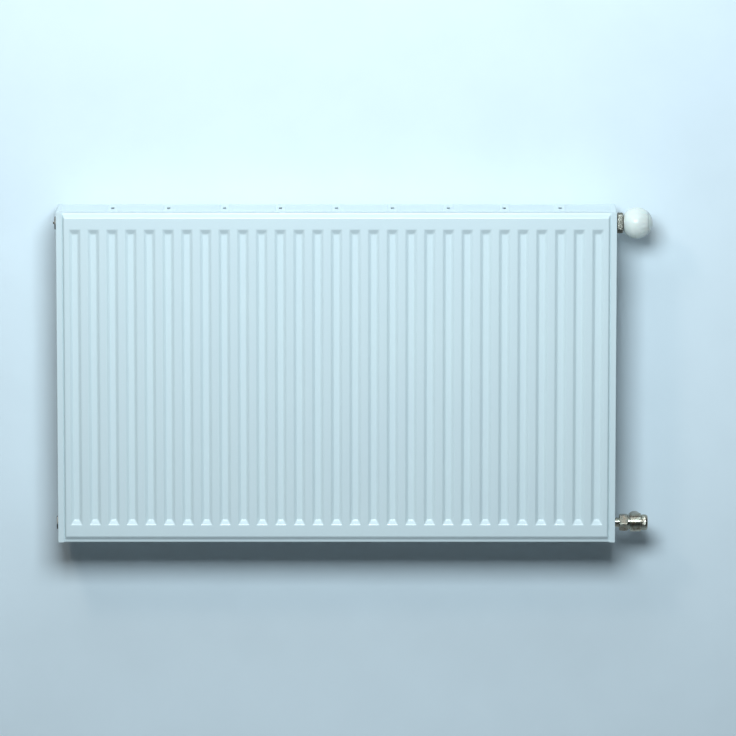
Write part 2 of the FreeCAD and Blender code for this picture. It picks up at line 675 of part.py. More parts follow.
def slot(sketch, centre_x, centre_y, length, width, upright=False):
    """Draws a round-ended slot along one axis from its centre, length and width."""
    run = f"({length} - {width}) / 2"
    radius = f"{width} / 2"
    half, bend = amount_of(use(run)), amount_of(use(radius))
    middle = Vector(amount_of(use(centre_x)), amount_of(use(centre_y)), 0)
    along = Vector(0, 1, 0) if upright else Vector(1, 0, 0)
    across = Vector(-1, 0, 0) if upright else Vector(0, 1, 0)
    first = sketch.GeometryCount
    for sign in (1, -1):
        far, near = middle + along * (sign * half), middle - along * (sign * half)
        side = across * (sign * bend)
        sketch.addGeometry(Part.LineSegment(near - side, far - side), False)
        sketch.addGeometry(Part.Arc(far - side, far + along * (sign * bend), far + side), False)
    for number in range(4):
        after = first + (number + 1) % 4
        sketch.addConstraint(Sketcher.Constraint("Tangent", first + number, 2, after, 1))
    shift_x, shift_y = ("0", run) if upright else (run, "0")
    bind(sketch, "DistanceX", first + 1, 3, use(f"{centre_x} + {shift_x}"))
    bind(sketch, "DistanceY", first + 1, 3, use(f"{centre_y} + {shift_y}"))
    bind(sketch, "DistanceX", first + 3, 3, use(f"{centre_x} - {shift_x}"))
    bind(sketch, "DistanceY", first + 3, 3, use(f"{centre_y} - {shift_y}"))
    number = sketch.addConstraint(Sketcher.Constraint("Radius", first + 1, bend))
    sketch.setExpression(f"Constraints[{number}]", use(radius))


SLOT_ROWS = 8


def grille():
    """The top grille: slots along the length in equal modules, and an oblong hole in each bridge."""
    body = new_body("top_grille")
    plate = new_sketch(body, "XY_Plane", f"{HALF_HEIGHT} - cover_thickness")
    reach = f"{HALF_LENGTH} - cover_thickness - slide_clearance"
    seam = "radiator_depth / 2 - flute_depth"
    rectangle(plate, f"-({reach})", reach, f"-({seam})", seam)
    pad(body, plate, "cover_thickness")
    skirts = new_sketch(body, "XY_Plane", f"{HALF_HEIGHT} - cover_thickness")
    outside = f"{INNER_GAP} / 2 - slide_clearance"
    inside = f"{outside} - cover_thickness"
    end = f"{TEE_CENTRE} - tee_radius - grille_skirt_gap"
    rectangle(skirts, f"-({end})", end, inside, outside)
    rectangle(skirts, f"-({end})", end, f"-({outside})", f"-({inside})")
    pad(body, skirts, "grille_skirt - cover_thickness", backwards=True)

    modules = use("floor(panel_length / grille_module + count_slack)")
    first = f"-({modules} - 1) / 2 * grille_module"
    slots = new_sketch(body, "XY_Plane", HALF_HEIGHT)
    for number in range(SLOT_ROWS):
        across = f"({number} - {SLOT_ROWS - 1} / 2) * slot_pitch"
        slot(slots, first, across, "slot_length", "slot_width")
    cut = pocket(body, slots, "2 * cover_thickness")
    row_of(body, [cut], plate, "grille_module", modules)
    bridges = new_sketch(body, "XY_Plane", HALF_HEIGHT)
    bridge = f"{first} + grille_module / 2"
    slot(bridges, bridge, "0", "bridge_hole_length", "bridge_hole_width", upright=True)
    hole = pocket(body, bridges, "2 * cover_thickness")
    row_of(body, [hole], plate, "grille_module", f"{modules} - 1")
    place(body, along_y="-" + MIDDLE_DEPTH)
    return body


def grille_clips():
    """Four folded clips on the grille's skirts that hook under them, two in front and two behind."""
    body = new_body("grille_clips")
    low = f"{HALF_HEIGHT} - grille_skirt"
    inner = f"{INNER_GAP} / 2 - slide_clearance - cover_thickness"
    steel = "convector_sheet"
    sketch = new_sketch(body, "YZ_Plane", "clip_spacing / 2")
    for sign in ("", "-"):
        corners = [
            (inner, f"{low} + clip_height"),
            (inner, low),
            (f"{inner} + cover_thickness", low),
            (f"{inner} + cover_thickness", f"{low} - {steel}"),
            (f"{inner} - {steel}", f"{low} - {steel}"),
            (f"{inner} - {steel}", f"{low} + clip_height"),
        ]
        outline(sketch, [(f"{sign}({across})", up) for across, up in corners])
    clip = pad(body, sketch, "clip_length")
    row_of(body, [clip], sketch, "clip_spacing", "2", direction="N_Axis", backwards=True)
    place(body, along_y="-" + MIDDLE_DEPTH)
    return body


# ---------------------------------------------------------------- hanging on the wall

def boxed(body, role, lift, outlines, length, cut=False, **ways):
    """Pads or pockets rectangles, each four sizes, drawn on one lifted origin plane."""
    sketch = new_sketch(body, role, lift)
    for low_x, high_x, low_y, high_y in outlines:
        rectangle(sketch, low_x, high_x, low_y, high_y)
    return pocket(body, sketch, length, **ways) if cut else pad(body, sketch, length, **ways)


def hanging_lug(label, side, rise):
    """A folded steel lug on the rear panel: a pocket that is open below and drops over a hook."""
    body = new_body(label)
    half = "lug_width / 2"
    deep = "lug_reach"
    middle = "lug_height / 2"
    boxed(body, "XY_Plane", f"-{middle}", [(f"-{half}", half, "0", deep)], "lug_height")
    inside = f"{half} - rail_steel"
    body.Tip = boxed(
        body, "XY_Plane", f"-{middle}", [(f"-({inside})", inside, "0", f"{deep} - rail_steel")],
        "lug_height - rail_steel", cut=True, backwards=True)
    place(body, along_x=use(f"{side} bracket_spacing / 2"), along_y="-" + REAR_FACE,
          along_z=use(f"{rise} lug_rise"))
    return body


def hook_height(rise):
    """Top of a hook's bare steel, one sleeve wall below the inside of its lug."""
    return f"{rise} lug_rise + lug_height / 2 - rail_steel - sleeve_wall"


HOOK_BACK = use("-wall_gap + lug_reach - rail_steel - slide_clearance - sleeve_wall")


def wall_bracket(label, side):
    """A U-shaped rail on the wall, with an upturned hook for each lug and two screw holes."""
    body = new_body(label)
    half = "rail_width / 2"
    boxed(body, "XY_Plane", None, [(f"-{half}", half, "-rail_depth", "0")], "rail_height", both_ways=True)
    inside = f"{half} - rail_steel"
    boxed(body, "XY_Plane", None, [(f"-({inside})", inside, "-2 * rail_depth", "-rail_steel")],
          "rail_height", cut=True, both_ways=True)
    for rise in ("", "-"):
        top = hook_height(rise)
        foot = f"{rise} lug_rise - lug_height / 2 - hook_drop"
        low = f"{foot} - rail_steel"
        boxed(body, "XY_Plane", low, [("-hook_width / 2", "hook_width / 2", f"{HOOK_BACK} - rail_steel",
                                       "-rail_steel")], "rail_steel")
        boxed(body, "XY_Plane", foot, [("-hook_width / 2", "hook_width / 2", f"{HOOK_BACK} - rail_steel",
                                        HOOK_BACK)], f"{top} - ({foot})")
    holes = new_sketch(body, "XZ_Plane")
    disc(holes, "0", "bracket_hole_rise / 2", "bracket_hole_radius")
    disc(holes, "0", "-bracket_hole_rise / 2", "bracket_hole_radius")
    body.Tip = pocket(body, holes, "rail_steel", backwards=True)
    place(body, along_x=use(f"{side} bracket_spacing / 2"))
    return body


def hook_sleeve(label, side, rise):
    """A plastic sleeve over a hook, which keeps steel off steel and fills the lug's depth."""
    body = new_body(label)
    wall = "sleeve_wall"
    top = hook_height(rise)
    length = "lug_height / 2"
    half = f"hook_width / 2 + {wall}"
    boxed(body, "XY_Plane", f"{top} + {wall}",
          [(f"-({half})", half, f"{HOOK_BACK} - rail_steel - {wall}", f"{HOOK_BACK} + {wall}")],
          f"{length} + {wall}", backwards=True)
    body.Tip = boxed(
        body, "XY_Plane", top,
        [("-hook_width / 2", "hook_width / 2", f"{HOOK_BACK} - rail_steel", HOOK_BACK)],
        length, cut=True)
    place(body, along_x=use(f"{side} bracket_spacing / 2"))
    return body


# ---------------------------------------------------------------- plugs at the blind end

def hex_part(body, start, length, flats, bore=None):
    """Pads a hexagonal collar about the X axis, with a bore where one is given."""
    sketch = new_sketch(body, "YZ_Plane", start)
    hexagon(sketch, flats)
    if bore is not None:
        disc(sketch, "0", "0", bore)
    feature = pad(body, sketch, length)
    body.Tip = feature
    return feature


def flat_seal(label, turn=0, height=HUB_RISE):
    """A flat sealing ring between a tee's mouth and the head screwed into it."""
    corners = tube_corners(TEE_MOUTH, f"{TEE_MOUTH} + seal_thickness", "port_radius", "seal_radius")
    return turned(label, corners, turn=turn, height=height)


def plugs():
    """The air vent above and the blanking plug below, with their seals and the vent screw."""
    head_start = f"{TEE_MOUTH} + seal_thickness"
    head = "plug_head - seal_thickness"
    screw_seat = f"{TEE_MOUTH} - shank_length + vent_seat_depth"
    screw_start = f"{screw_seat} + vent_seat_gap"
    hole = "vent_radius + running_clearance"
    vent = turned("air_vent_plug", [
        (f"{TEE_MOUTH} - shank_length", "vent_passage_radius"),
        (screw_seat, "vent_passage_radius"),
        (screw_seat, hole),
        (head_start, hole),
        (head_start, SHANK_RADIUS),
        (f"{TEE_MOUTH} - shank_length", SHANK_RADIUS),
    ], turn=180)
    hex_part(vent, head_start, head, "plug_flats", hole)
    shoulder = f"{TEE_MOUTH} + plug_head - vent_recess"
    screw = turned("air_vent_screw", [
        (screw_start, "0"),
        (f"{screw_start} + vent_radius", "vent_radius"),
        (shoulder, "vent_radius"),
        (shoulder, "0"),
    ], turn=180)
    key = new_sketch(screw, "YZ_Plane", shoulder)
    half = "vent_square / 2"
    rectangle(key, f"-({half})", half, f"-({half})", half)
    screw.Tip = pad(screw, key, "vent_square_length")
    blank = turned("blanking_plug", [
        (f"{TEE_MOUTH} - shank_length", "0"),
        (head_start, "0"),
        (head_start, SHANK_RADIUS),
        (f"{TEE_MOUTH} - shank_length", SHANK_RADIUS),
    ], turn=180, height="-" + HUB_RISE)
    hex_part(blank, head_start, head, "plug_flats")
    return [
        vent,
        flat_seal("air_vent_seal", turn=180),
        screw,
        blank,
        flat_seal("blanking_plug_seal", turn=180, height="-" + HUB_RISE),
    ]


# ---------------------------------------------------------------- valve insert

NOSE_START = use(f"{HALF_LENGTH} + nose_start")
NOSE_END = use(f"{NOSE_START} + nose_length")
STEM_HOLE = use("stem_radius + running_clearance")
SPRING_FLOOR = use(f"{TEE_MOUTH} - shank_length + spring_floor_depth")
SPRING_TOP = use(f"{TEE_MOUTH} + spring_top_reach")
SPRING_ROOM = use("valve_spring_radius + spring_wire / 2 + spring_clearance")


def helix_spring(label, start, end, coil_radius, turns):
    """A coil spring about X between two seats, its wire swept along a helix."""
    wire = amount_of(use("spring_wire"))
    play = amount_of(use("spring_play"))
    low = amount_of(use(start))
    radius = amount_of(use(coil_radius))
    rise = amount_of(use(end)) - low - wire - play
    path = Part.makeHelix(rise / turns, rise, radius)
    ring = Part.Wire(Part.makeCircle(wire / 2, Vector(radius, 0, 0), Vector(0, 1, 0)))
    coil = Part.Wire(path.Edges).makePipeShell([ring], True, True)
    spring = doc.addObject("Part::Feature", label)
    spring.Label = label
    spring.Shape = coil
    start_point = Vector(low + (wire + play) / 2, -amount_of(MIDDLE_DEPTH), amount_of(HUB_RISE))
    spring.Placement = Placement(start_point, Rotation(Vector(0, 1, 0), 90))
    return spring


def valve_pieces():
    """The screwed valve insert, its seal, and the stem with its rubber disc and return spring."""
    head_start = f"{TEE_MOUTH} + seal_thickness"
    shank = f"{TEE_MOUTH} - shank_length"
    insert = turned("valve_insert", [
        (shank, STEM_HOLE),
        (SPRING_FLOOR, STEM_HOLE),
        (SPRING_FLOOR, SPRING_ROOM),
        (NOSE_END, SPRING_ROOM),
        (NOSE_END, "nose_radius"),
        (NOSE_START, "nose_radius"),
        (NOSE_START, "insert_neck_radius"),
        (head_start, "insert_neck_radius"),
        (head_start, SHANK_RADIUS),
        (shank, SHANK_RADIUS),
    ])
    disc_start = f"{SEAT_FACE} + valve_lift"
    disc_end = f"{disc_start} + disc_thickness"
    plate_end = f"{disc_end} + disc_plate"
    collar_end = f"{SPRING_TOP} + stem_collar"
    collar_radius = f"{SPRING_ROOM} - running_clearance"
    stem = turned("valve_stem", [
        (f"{disc_start} - stem_tip", "0"),
        (f"{disc_start} - stem_tip", "stem_tip_radius"),
        (disc_start, "stem_radius"),
        (disc_end, "stem_radius"),
        (disc_end, "disc_plate_radius"),
        (plate_end, "disc_plate_radius"),
        (plate_end, "stem_radius"),
        (SPRING_TOP, "stem_radius"),
        (SPRING_TOP, collar_radius),
        (collar_end, collar_radius),
        (collar_end, "stem_radius"),
        (NOSE_END, "stem_radius"),
        (NOSE_END, "0"),
    ])
    washer = turned("valve_disc", tube_corners(disc_start, disc_end, "stem_radius", "disc_radius"))
    spring = helix_spring("valve_return_spring", SPRING_FLOOR, SPRING_TOP, "valve_spring_radius", turns=5)
    return [insert, flat_seal("valve_insert_seal"), stem, washer, spring]


# ---------------------------------------------------------------- thermostat head

def outward(distance):
    """A place measured outwards from the side cover's face."""
    return f"{HALF_LENGTH} + {distance}"


def thermostat():
    """Ring nut, fixed sleeve, turning ball handwheel and end cap, sensor, push rod and spring."""
    ring_start = outward("ring_gap")
    ring_end = f"{ring_start} + ring_length"
    lip = f"{ring_end} - ring_lip"
    ring = turned("thermostat_ring_nut", [
        (ring_start, "nose_radius + thread_clearance"),
        (lip, "nose_radius + thread_clearance"),
        (lip, "neck_radius + slide_clearance"),
        (ring_end, "neck_radius + slide_clearance"),
        (ring_end, "ring_radius - small_chamfer"),
        (f"{ring_end} - small_chamfer", "ring_radius"),
        (f"{ring_start} + small_chamfer", "ring_radius"),
        (ring_start, "ring_radius - small_chamfer"),
    ])
    bore = "sensor_radius + running_clearance"
    rod_hole = "rod_radius + running_clearance"
    floor = outward("sensor_start - sensor_floor")
    sleeve_start = outward("ball_mouth - sleeve_shoulder")
    base = turned("thermostat_base", [
        (NOSE_END, rod_hole),
        (floor, rod_hole),
        (floor, bore),
        (outward("sleeve_end"), bore),
        (outward("sleeve_end"), "sleeve_radius"),
        (sleeve_start, "sleeve_radius"),
        (sleeve_start, "neck_radius"),
        (lip, "neck_radius"),
        (lip, "nose_radius"),
        (NOSE_END, "nose_radius"),
    ])
    mouth = outward("ball_mouth")
    centre = f"{mouth} + sqrt(ball_radius^2 - ball_mouth_radius^2)"
    ball_end = f"{centre} + ball_radius"
    cap_start = f"{ball_end} - cap_height"
    hub = "sleeve_radius + slide_clearance"
    hub_outer = f"{hub} + hub_wall"
    hub_end = outward("sleeve_end - hub_set_back")
    inner = "ball_radius - ball_wall"
    wall_meets_hub = f"{centre} - sqrt(({inner})^2 - ({hub_outer})^2)"
    wheel = turned("thermostat_handwheel", [
        (mouth, hub),
        (mouth, None),
        (cap_start, None),
        (cap_start, None),
        (wall_meets_hub, None),
        (hub_end, hub_outer),
        (hub_end, hub),
    ], arcs={1: (centre, "ball_radius", "right"), 3: (centre, inner, "left")})
    cap_joint = f"{cap_start} + cap_joint"
    plug_radius = f"sqrt(({inner})^2 - (ball_radius - cap_height)^2) - slide_clearance"
    plug_start = f"{cap_start} - cap_plug"
    cap = turned("thermostat_end_cap", [
        (plug_start, "0"),
        (ball_end, POLE),
        (cap_joint, None),
        (cap_joint, plug_radius),
        (plug_start, f"{plug_radius} - small_chamfer"),
    ], arcs={1: (centre, "ball_radius", "left")})
    sensor_start = outward("sensor_start")
    sensor_end = f"{sensor_start} + sensor_length"
    sensor = turned("sensor_element", [
        (sensor_start, "0"),
        (sensor_end, "0"),
        (sensor_end, "sensor_radius - small_chamfer"),
        (f"{sensor_end} - small_chamfer", "sensor_radius"),
        (f"{sensor_start} + small_chamfer", "sensor_radius"),
        (sensor_start, "sensor_radius - small_chamfer"),
    ])
    rod = turned("sensor_push_rod", [
        (f"{NOSE_END} + rod_play", "0"),
        (sensor_start, "0"),
        (sensor_start, "rod_radius"),
        (f"{NOSE_END} + rod_play", "rod_radius"),
    ])
    spring = helix_spring("overload_spring", sensor_end, plug_start, "overload_spring_radius", turns=5)
    return [ring, base, wheel, cap, sensor, rod, spring]


# ---------------------------------------------------------------- lockshield valve

def lockshield():
    """The return fitting: tail, union nut, body with its outlet to the wall, gland, spindle and cap."""
    low = "-" + HUB_RISE
    collar_start = outward("neck_length")
    nut_start = collar_start
    collar = f"{nut_start} + union_lip"
    body_nipple = f"{collar} + tail_head"
    nut_end = f"{nut_start} + union_length"
    barrel = f"{nut_end} + union_neck"
    barrel_end = f"{barrel} + body_length"
    seal_end = f"{TEE_MOUTH} + seal_thickness"
    head_radius = "union_nipple_radius - tail_head_gap"
    tail = turned("lockshield_tail", [
        (f"{TEE_MOUTH} - shank_length", "tail_bore"),
        (body_nipple, "tail_bore"),
        (body_nipple, head_radius),
        (collar, head_radius),
        (collar, "tail_radius"),
        (f"{seal_end} + tail_collar", "tail_radius"),
        (f"{seal_end} + tail_collar", "tail_collar_radius"),
        (seal_end, "tail_collar_radius"),
        (seal_end, SHANK_RADIUS),
        (f"{TEE_MOUTH} - shank_length", SHANK_RADIUS),
    ], height=low)
    nut = new_body("union_nut")
    hex_part(nut, nut_start, "union_length", "union_flats", "tail_radius + thread_clearance")
    thread = new_sketch(nut, "YZ_Plane", nut_end)
    disc(thread, "0", "0", "union_nipple_radius + thread_clearance")
    nut.Tip = pocket(nut, thread, "union_length - union_lip")
    place(nut, along_y="-" + MIDDLE_DEPTH, along_z=low)

    chamber = f"{barrel} + lockshield_seat / 2"
    gland_start = f"{barrel_end} - gland_shank"
    seat = f"{barrel} - lockshield_seat / 2"
    body = turned("lockshield_body", [
        (body_nipple, "tail_bore"),
        (seat, "tail_bore"),
        (seat, "seat_radius"),
        (chamber, "seat_radius"),
        (chamber, "chamber_radius"),
        (gland_start, "chamber_radius"),
        (gland_start, "port_radius"),
        (barrel_end, "port_radius"),
        (barrel_end, "body_radius - small_chamfer"),
        (f"{barrel_end} - small_chamfer", "body_radius"),
        (f"{barrel} + small_chamfer", "body_radius"),
        (barrel, "body_radius - small_chamfer"),
        (barrel, "union_nipple_radius"),
        (body_nipple, "union_nipple_radius"),
    ], height=low)
    outlet_place = f"{barrel} + body_length / 2"
    boss_start = "lockshield_cap_radius + slide_clearance"
    boss = new_sketch(body, "XZ_Plane", f"-({boss_start})")
    disc(boss, outlet_place, "0", "outlet_radius")
    pad(body, boss, f"outlet_reach - ({boss_start})", backwards=True)
    refill = new_sketch(body, "YZ_Plane", chamber)
    disc(refill, "0", "0", "chamber_radius")
    pocket(body, refill, f"{gland_start} - ({chamber})", backwards=True)
    gland_bore = new_sketch(body, "YZ_Plane", gland_start)
    disc(gland_bore, "0", "0", "port_radius")
    pocket(body, gland_bore, "gland_shank", backwards=True)
    passage = new_sketch(body, "XZ_Plane")
    disc(passage, outlet_place, "0", "passage_radius")
    pocket(body, passage, "outlet_reach")
    thread = new_sketch(body, "XZ_Plane", "-outlet_reach")
    disc(thread, outlet_place, "0", "port_radius")
    body.Tip = pocket(body, thread, "outlet_thread", backwards=True)

    spindle_hole = "spindle_radius + running_clearance"
    groove = f"{gland_start} + gland_floor"
    groove_end = f"{groove} + spindle_seal_width + 2 * seal_play"
    groove_radius = "spindle_radius + spindle_seal_depth + seal_play"
    gland = turned("lockshield_gland", [
        (gland_start, spindle_hole),
        (groove, spindle_hole),
        (groove, groove_radius),
        (groove_end, groove_radius),
        (groove_end, spindle_hole),
        (barrel_end, spindle_hole),
        (barrel_end, SHANK_RADIUS),
        (gland_start, SHANK_RADIUS),
    ], height=low)
    hex_part(gland, barrel_end, "gland_head", "gland_flats", spindle_hole)
    seal = turned("spindle_seal", tube_corners(
        f"{groove} + seal_play", f"{groove_end} - seal_play",
        "spindle_radius + seal_gap", "spindle_radius + spindle_seal_depth"), height=low)

    cone_start = f"{chamber} + cone_gap"
    cone_floor = f"{cone_start} + cone_web"
    cone_end = f"{cone_start} + cone_length"
    cone = turned("lockshield_cone", [
        (cone_start, "0"),
        (cone_floor, "0"),
        (cone_floor, STEM_HOLE),
        (cone_end, STEM_HOLE),
        (cone_end, "cone_radius"),
        (f"{cone_start} + cone_taper", "cone_radius"),
        (cone_start, "cone_tip_radius"),
    ], height=low)
    tip_start = f"{cone_start} + spindle_tip_gap"
    shoulder = f"{gland_start} + slide_clearance"
    spindle_end = f"{barrel_end} + gland_head + spindle_reach"
    spindle = turned("lockshield_spindle", [
        (tip_start, "0"),
        (tip_start, "stem_radius"),
        (shoulder, "stem_radius"),
        (shoulder, "spindle_radius"),
        (spindle_end, "spindle_radius"),
        (spindle_end, "0"),
    ], height=low)
    socket = new_sketch(spindle, "YZ_Plane", spindle_end)
    hexagon(socket, "key_flats")
    spindle.Tip = pocket(spindle, socket, "key_depth")
    hood_start = f"{barrel_end} + slide_clearance"
    hood_end = f"{hood_start} + lockshield_cap_length"
    hood_floor = f"{hood_end} - lockshield_cap_wall"
    hood_room = "gland_flats / 2 / cos(30 deg) + lockshield_cap_fit"
    hood = turned("lockshield_cap", [
        (hood_start, hood_room),
        (hood_floor, hood_room),
        (hood_floor, "0"),
        (hood_end, "0"),
        (hood_end, "lockshield_cap_radius - lockshield_cap_chamfer"),
        (f"{hood_end} - lockshield_cap_chamfer", "lockshield_cap_radius"),
        (hood_start, "lockshield_cap_radius"),
    ], height=low)
    return [tail, flat_seal("tail_seal", height=low), nut, body, gland, seal, cone, spindle, hood]


# ---------------------------------------------------------------- the whole radiator

pieces = []
pieces += water_panels()
pieces += convectors()
pieces.append(connection_tee("upper_left_tee", 180, HUB_RISE))
pieces.append(connection_tee("lower_left_tee", 180, "-" + HUB_RISE))
pieces.append(connection_tee("lower_right_tee", 0, "-" + HUB_RISE))
pieces.append(built_in_valve_housing())
pieces += supply_riser()
pieces += side_covers()
pieces += [grille(), grille_clips()]
for end_name, end_sign in (("left", "-"), ("right", "")):
    pieces.append(wall_bracket(f"{end_name}_wall_bracket", end_sign))
    for level_name, level_sign in (("upper", ""), ("lower", "-")):
        pieces.append(hanging_lug(f"{level_name}_{end_name}_lug", end_sign, level_sign))
        pieces.append(hook_sleeve(f"{level_name}_{end_name}_hook_sleeve", end_sign, level_sign))
pieces += plugs()
pieces += valve_pieces()
pieces += thermostat()
pieces += lockshield()
doc.recompute()

faults = []
for item in doc.Objects:
    if "Invalid" in item.State or "Error" in item.State:
        faults.append(f"{item.Label}: {item.State}")
for piece in pieces:
    if piece.Shape.isNull() or not piece.Shape.isValid():
        faults.append(f"{piece.Label}: bad shape")
if faults:
    raise RuntimeError("; ".join(faults))
for piece in pieces:
    piece.Shape.exportStep(f"parts/{piece.Label}.step")
    box = piece.Shape.BoundBox
    print(f"{piece.Label:28s} {len(piece.Shape.Solids)} solid(s), {piece.Shape.Volume:12.1f} mm3,"
          f" x {box.XMin:.1f} to {box.XMax:.1f}, y {box.YMin:.1f} to {box.YMax:.1f},"
          f" z {box.ZMin:.1f} to {box.ZMax:.1f}")
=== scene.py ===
# %% [markdown]
# # A steel panel radiator with its valves, finished for close looking
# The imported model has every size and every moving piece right, but its edges are knife-sharp and its
# surfaces have no finish. This lesson loads it as a fixed frame, presses the sheets again with soft radii,
# turns the fittings on a lathe, and gives each piece the finish that its real surface has. Lengths are in
# metres, so sizes in millimetres are multiplied by MM.

# %% Load the frame and keep its box
import json
import math
import bmesh
import bpy
from mathutils import Matrix, Vector

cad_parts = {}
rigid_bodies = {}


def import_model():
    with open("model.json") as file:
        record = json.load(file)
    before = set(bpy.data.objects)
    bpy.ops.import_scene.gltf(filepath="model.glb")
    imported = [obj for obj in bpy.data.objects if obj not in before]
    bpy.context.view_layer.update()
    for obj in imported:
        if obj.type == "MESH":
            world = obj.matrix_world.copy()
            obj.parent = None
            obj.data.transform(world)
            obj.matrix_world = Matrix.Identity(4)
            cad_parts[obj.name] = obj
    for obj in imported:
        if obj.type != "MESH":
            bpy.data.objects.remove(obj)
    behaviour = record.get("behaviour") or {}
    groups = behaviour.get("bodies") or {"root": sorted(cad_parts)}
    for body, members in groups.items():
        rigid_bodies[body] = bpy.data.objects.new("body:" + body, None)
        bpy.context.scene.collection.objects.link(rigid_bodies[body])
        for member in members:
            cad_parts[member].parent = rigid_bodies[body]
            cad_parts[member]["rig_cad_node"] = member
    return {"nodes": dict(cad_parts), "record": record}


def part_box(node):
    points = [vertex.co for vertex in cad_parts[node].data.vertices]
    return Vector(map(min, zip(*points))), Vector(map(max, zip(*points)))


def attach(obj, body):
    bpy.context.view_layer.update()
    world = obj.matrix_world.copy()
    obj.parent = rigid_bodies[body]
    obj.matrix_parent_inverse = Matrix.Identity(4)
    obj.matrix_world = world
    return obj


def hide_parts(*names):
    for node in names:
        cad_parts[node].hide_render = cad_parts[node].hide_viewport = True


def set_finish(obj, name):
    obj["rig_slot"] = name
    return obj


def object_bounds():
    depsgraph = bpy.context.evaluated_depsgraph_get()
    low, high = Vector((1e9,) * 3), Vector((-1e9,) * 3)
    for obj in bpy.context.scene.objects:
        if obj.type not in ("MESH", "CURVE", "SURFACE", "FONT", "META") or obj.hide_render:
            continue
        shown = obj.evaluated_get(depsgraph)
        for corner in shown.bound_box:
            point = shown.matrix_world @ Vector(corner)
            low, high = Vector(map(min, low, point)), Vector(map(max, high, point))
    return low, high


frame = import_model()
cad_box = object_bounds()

MM = 0.001
EXACT = 1e-7
SAME_PLANE = 1e-5
print("nodes in the frame:", len(frame["nodes"]), "box:", [list(corner) for corner in cad_box])

# %% [markdown]
# ## Small helpers
# A colour picked as a web hex value is sRGB, while shaders work in linear light, so one function converts
# it. One function adds a node with its settings and its links. One turns a bmesh into an object that rides
# on a body and takes its finish from a slot of the record, so every piece is handed over the same way.
# EXACT and SAME_PLANE are the distances, in metres, below which two points or planes count as one.

# %% Colour and node helpers
def linear(code):
    """Turns an sRGB hex colour into the linear RGBA that shaders expect."""
    channels = [int(code[start:start + 2], 16) / 255 for start in (1, 3, 5)]
    return [c / 12.92 if c <= 0.04045 else ((c + 0.055) / 1.055) ** 2.4 for c in channels] + [1.0]


def add(tree, kind, inputs=None, **settings):
    """Adds one node, sets its properties, then fills its inputs or links them to sockets."""
    node = tree.nodes.new(kind)
    for name, value in settings.items():
        setattr(node, name, value)
    for key, value in (inputs or {}).items():
        if isinstance(value, bpy.types.NodeSocket):
            tree.links.new(value, node.inputs[key])
        else:
            node.inputs[key].default_value = value
    return node


# %% Mesh helpers
AREA_WEIGHT = 100
BODY_OF = {node: body for body, nodes in frame["record"]["behaviour"]["bodies"].items() for node in nodes}
SLOT_OF = {part["node"]: part["material_slot"] for part in frame["record"]["subparts"]}


def box_of(node):
    """Lowest and highest corner of a node, as two vectors in metres."""
    low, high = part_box(node)
    return Vector(low), Vector(high)


def sharp_edges(bm, degrees):
    """Edges whose two faces meet at more than an angle."""
    limit = math.radians(degrees)
    return [edge for edge in bm.edges if edge.is_manifold and edge.calc_face_angle() > limit]


def round_edges(bm, edges, radius, segments=2):
    """Rounds edges with a circular bevel."""
    bmesh.ops.bevel(bm, geom=edges, offset=radius, offset_type="OFFSET", segments=segments,
                    profile=0.5, affect="EDGES", clamp_overlap=True, material=-1)


def finish_piece(bm, node, name=None, replace=True):
    """Makes a smooth-shaded object of a bmesh, riding with a CAD node and standing in for it."""
    for face in bm.faces:
        face.smooth = True
    name = name or node + "_finished"
    mesh = bpy.data.meshes.new(name)
    bm.to_mesh(mesh)
    bm.free()
    piece = bpy.data.objects.new(name, mesh)
    bpy.context.scene.collection.objects.link(piece)
    modifier = piece.modifiers.new("even_normals", "WEIGHTED_NORMAL")
    modifier.keep_sharp = True
    modifier.weight = AREA_WEIGHT
    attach(piece, BODY_OF[node])
    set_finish(piece, SLOT_OF[node])
    if replace:
        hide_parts(node)
    print(f"{name}: {len(mesh.polygons)} faces on {BODY_OF[node]}")


# %% [markdown]
# ## The pressed panels
# A radiator panel is two thin sheets. Each is pressed between dies that leave a flat rim for the seam
# weld, a sloping shoulder, a flat face and a row of long flutes, and steel never bends to a sharp corner.
# A grid of cuts along every bend line is the quickest way: the vertices of the rim and of the flute floors
# are then pushed back, the corners where two slopes meet are creased along their diagonal, the bends are
# rounded with a bevel, and solidify gives the sheet its thickness.

# %% Sizes of the pressings
PITCH = 100 / 3 * MM
FLUTES = 29
FLUTE_WIDTH = 20 * MM
FLUTE_DEPTH = 5.6 * MM
FLUTE_SIDE = 5 * MM
FLUTE_END = 8.5 * MM
HEADER = 32 * MM
RIM_HEIGHT = 4.5 * MM
SHOULDER = 6 * MM
SHOULDER_SIDE = 2.5 * MM
STEEL = 1.2 * MM
FACE_GAP = 11.5 * MM
BEND_RADIUS, BEND_SEGMENTS = 1.7 * MM, 3
BEND_ANGLE = 8
# The grille's front edge lies over the sheet, with a hair's gap between them.
SEAM_GAP = 0.8 * MM

front_low, front_high = box_of("front_panel_outer_sheet")
COVER_FACE = box_of("right_side_cover")[1].x
PANEL_HALF = front_high.x
PANEL_BOTTOM, PANEL_TOP = front_low.z, front_high.z - SEAM_GAP
HALF_HEIGHT = -PANEL_BOTTOM
FACE_Y = front_low.y


def cut(bm, axis, place):
    """Cuts the whole mesh along one line."""
    normal = [0.0, 0.0, 0.0]
    normal[axis] = 1.0
    point = [0.0, 0.0, 0.0]
    point[axis] = place
    everything = bm.verts[:] + bm.edges[:] + bm.faces[:]
    bmesh.ops.bisect_plane(bm, geom=everything, plane_co=point, plane_no=normal, dist=EXACT)


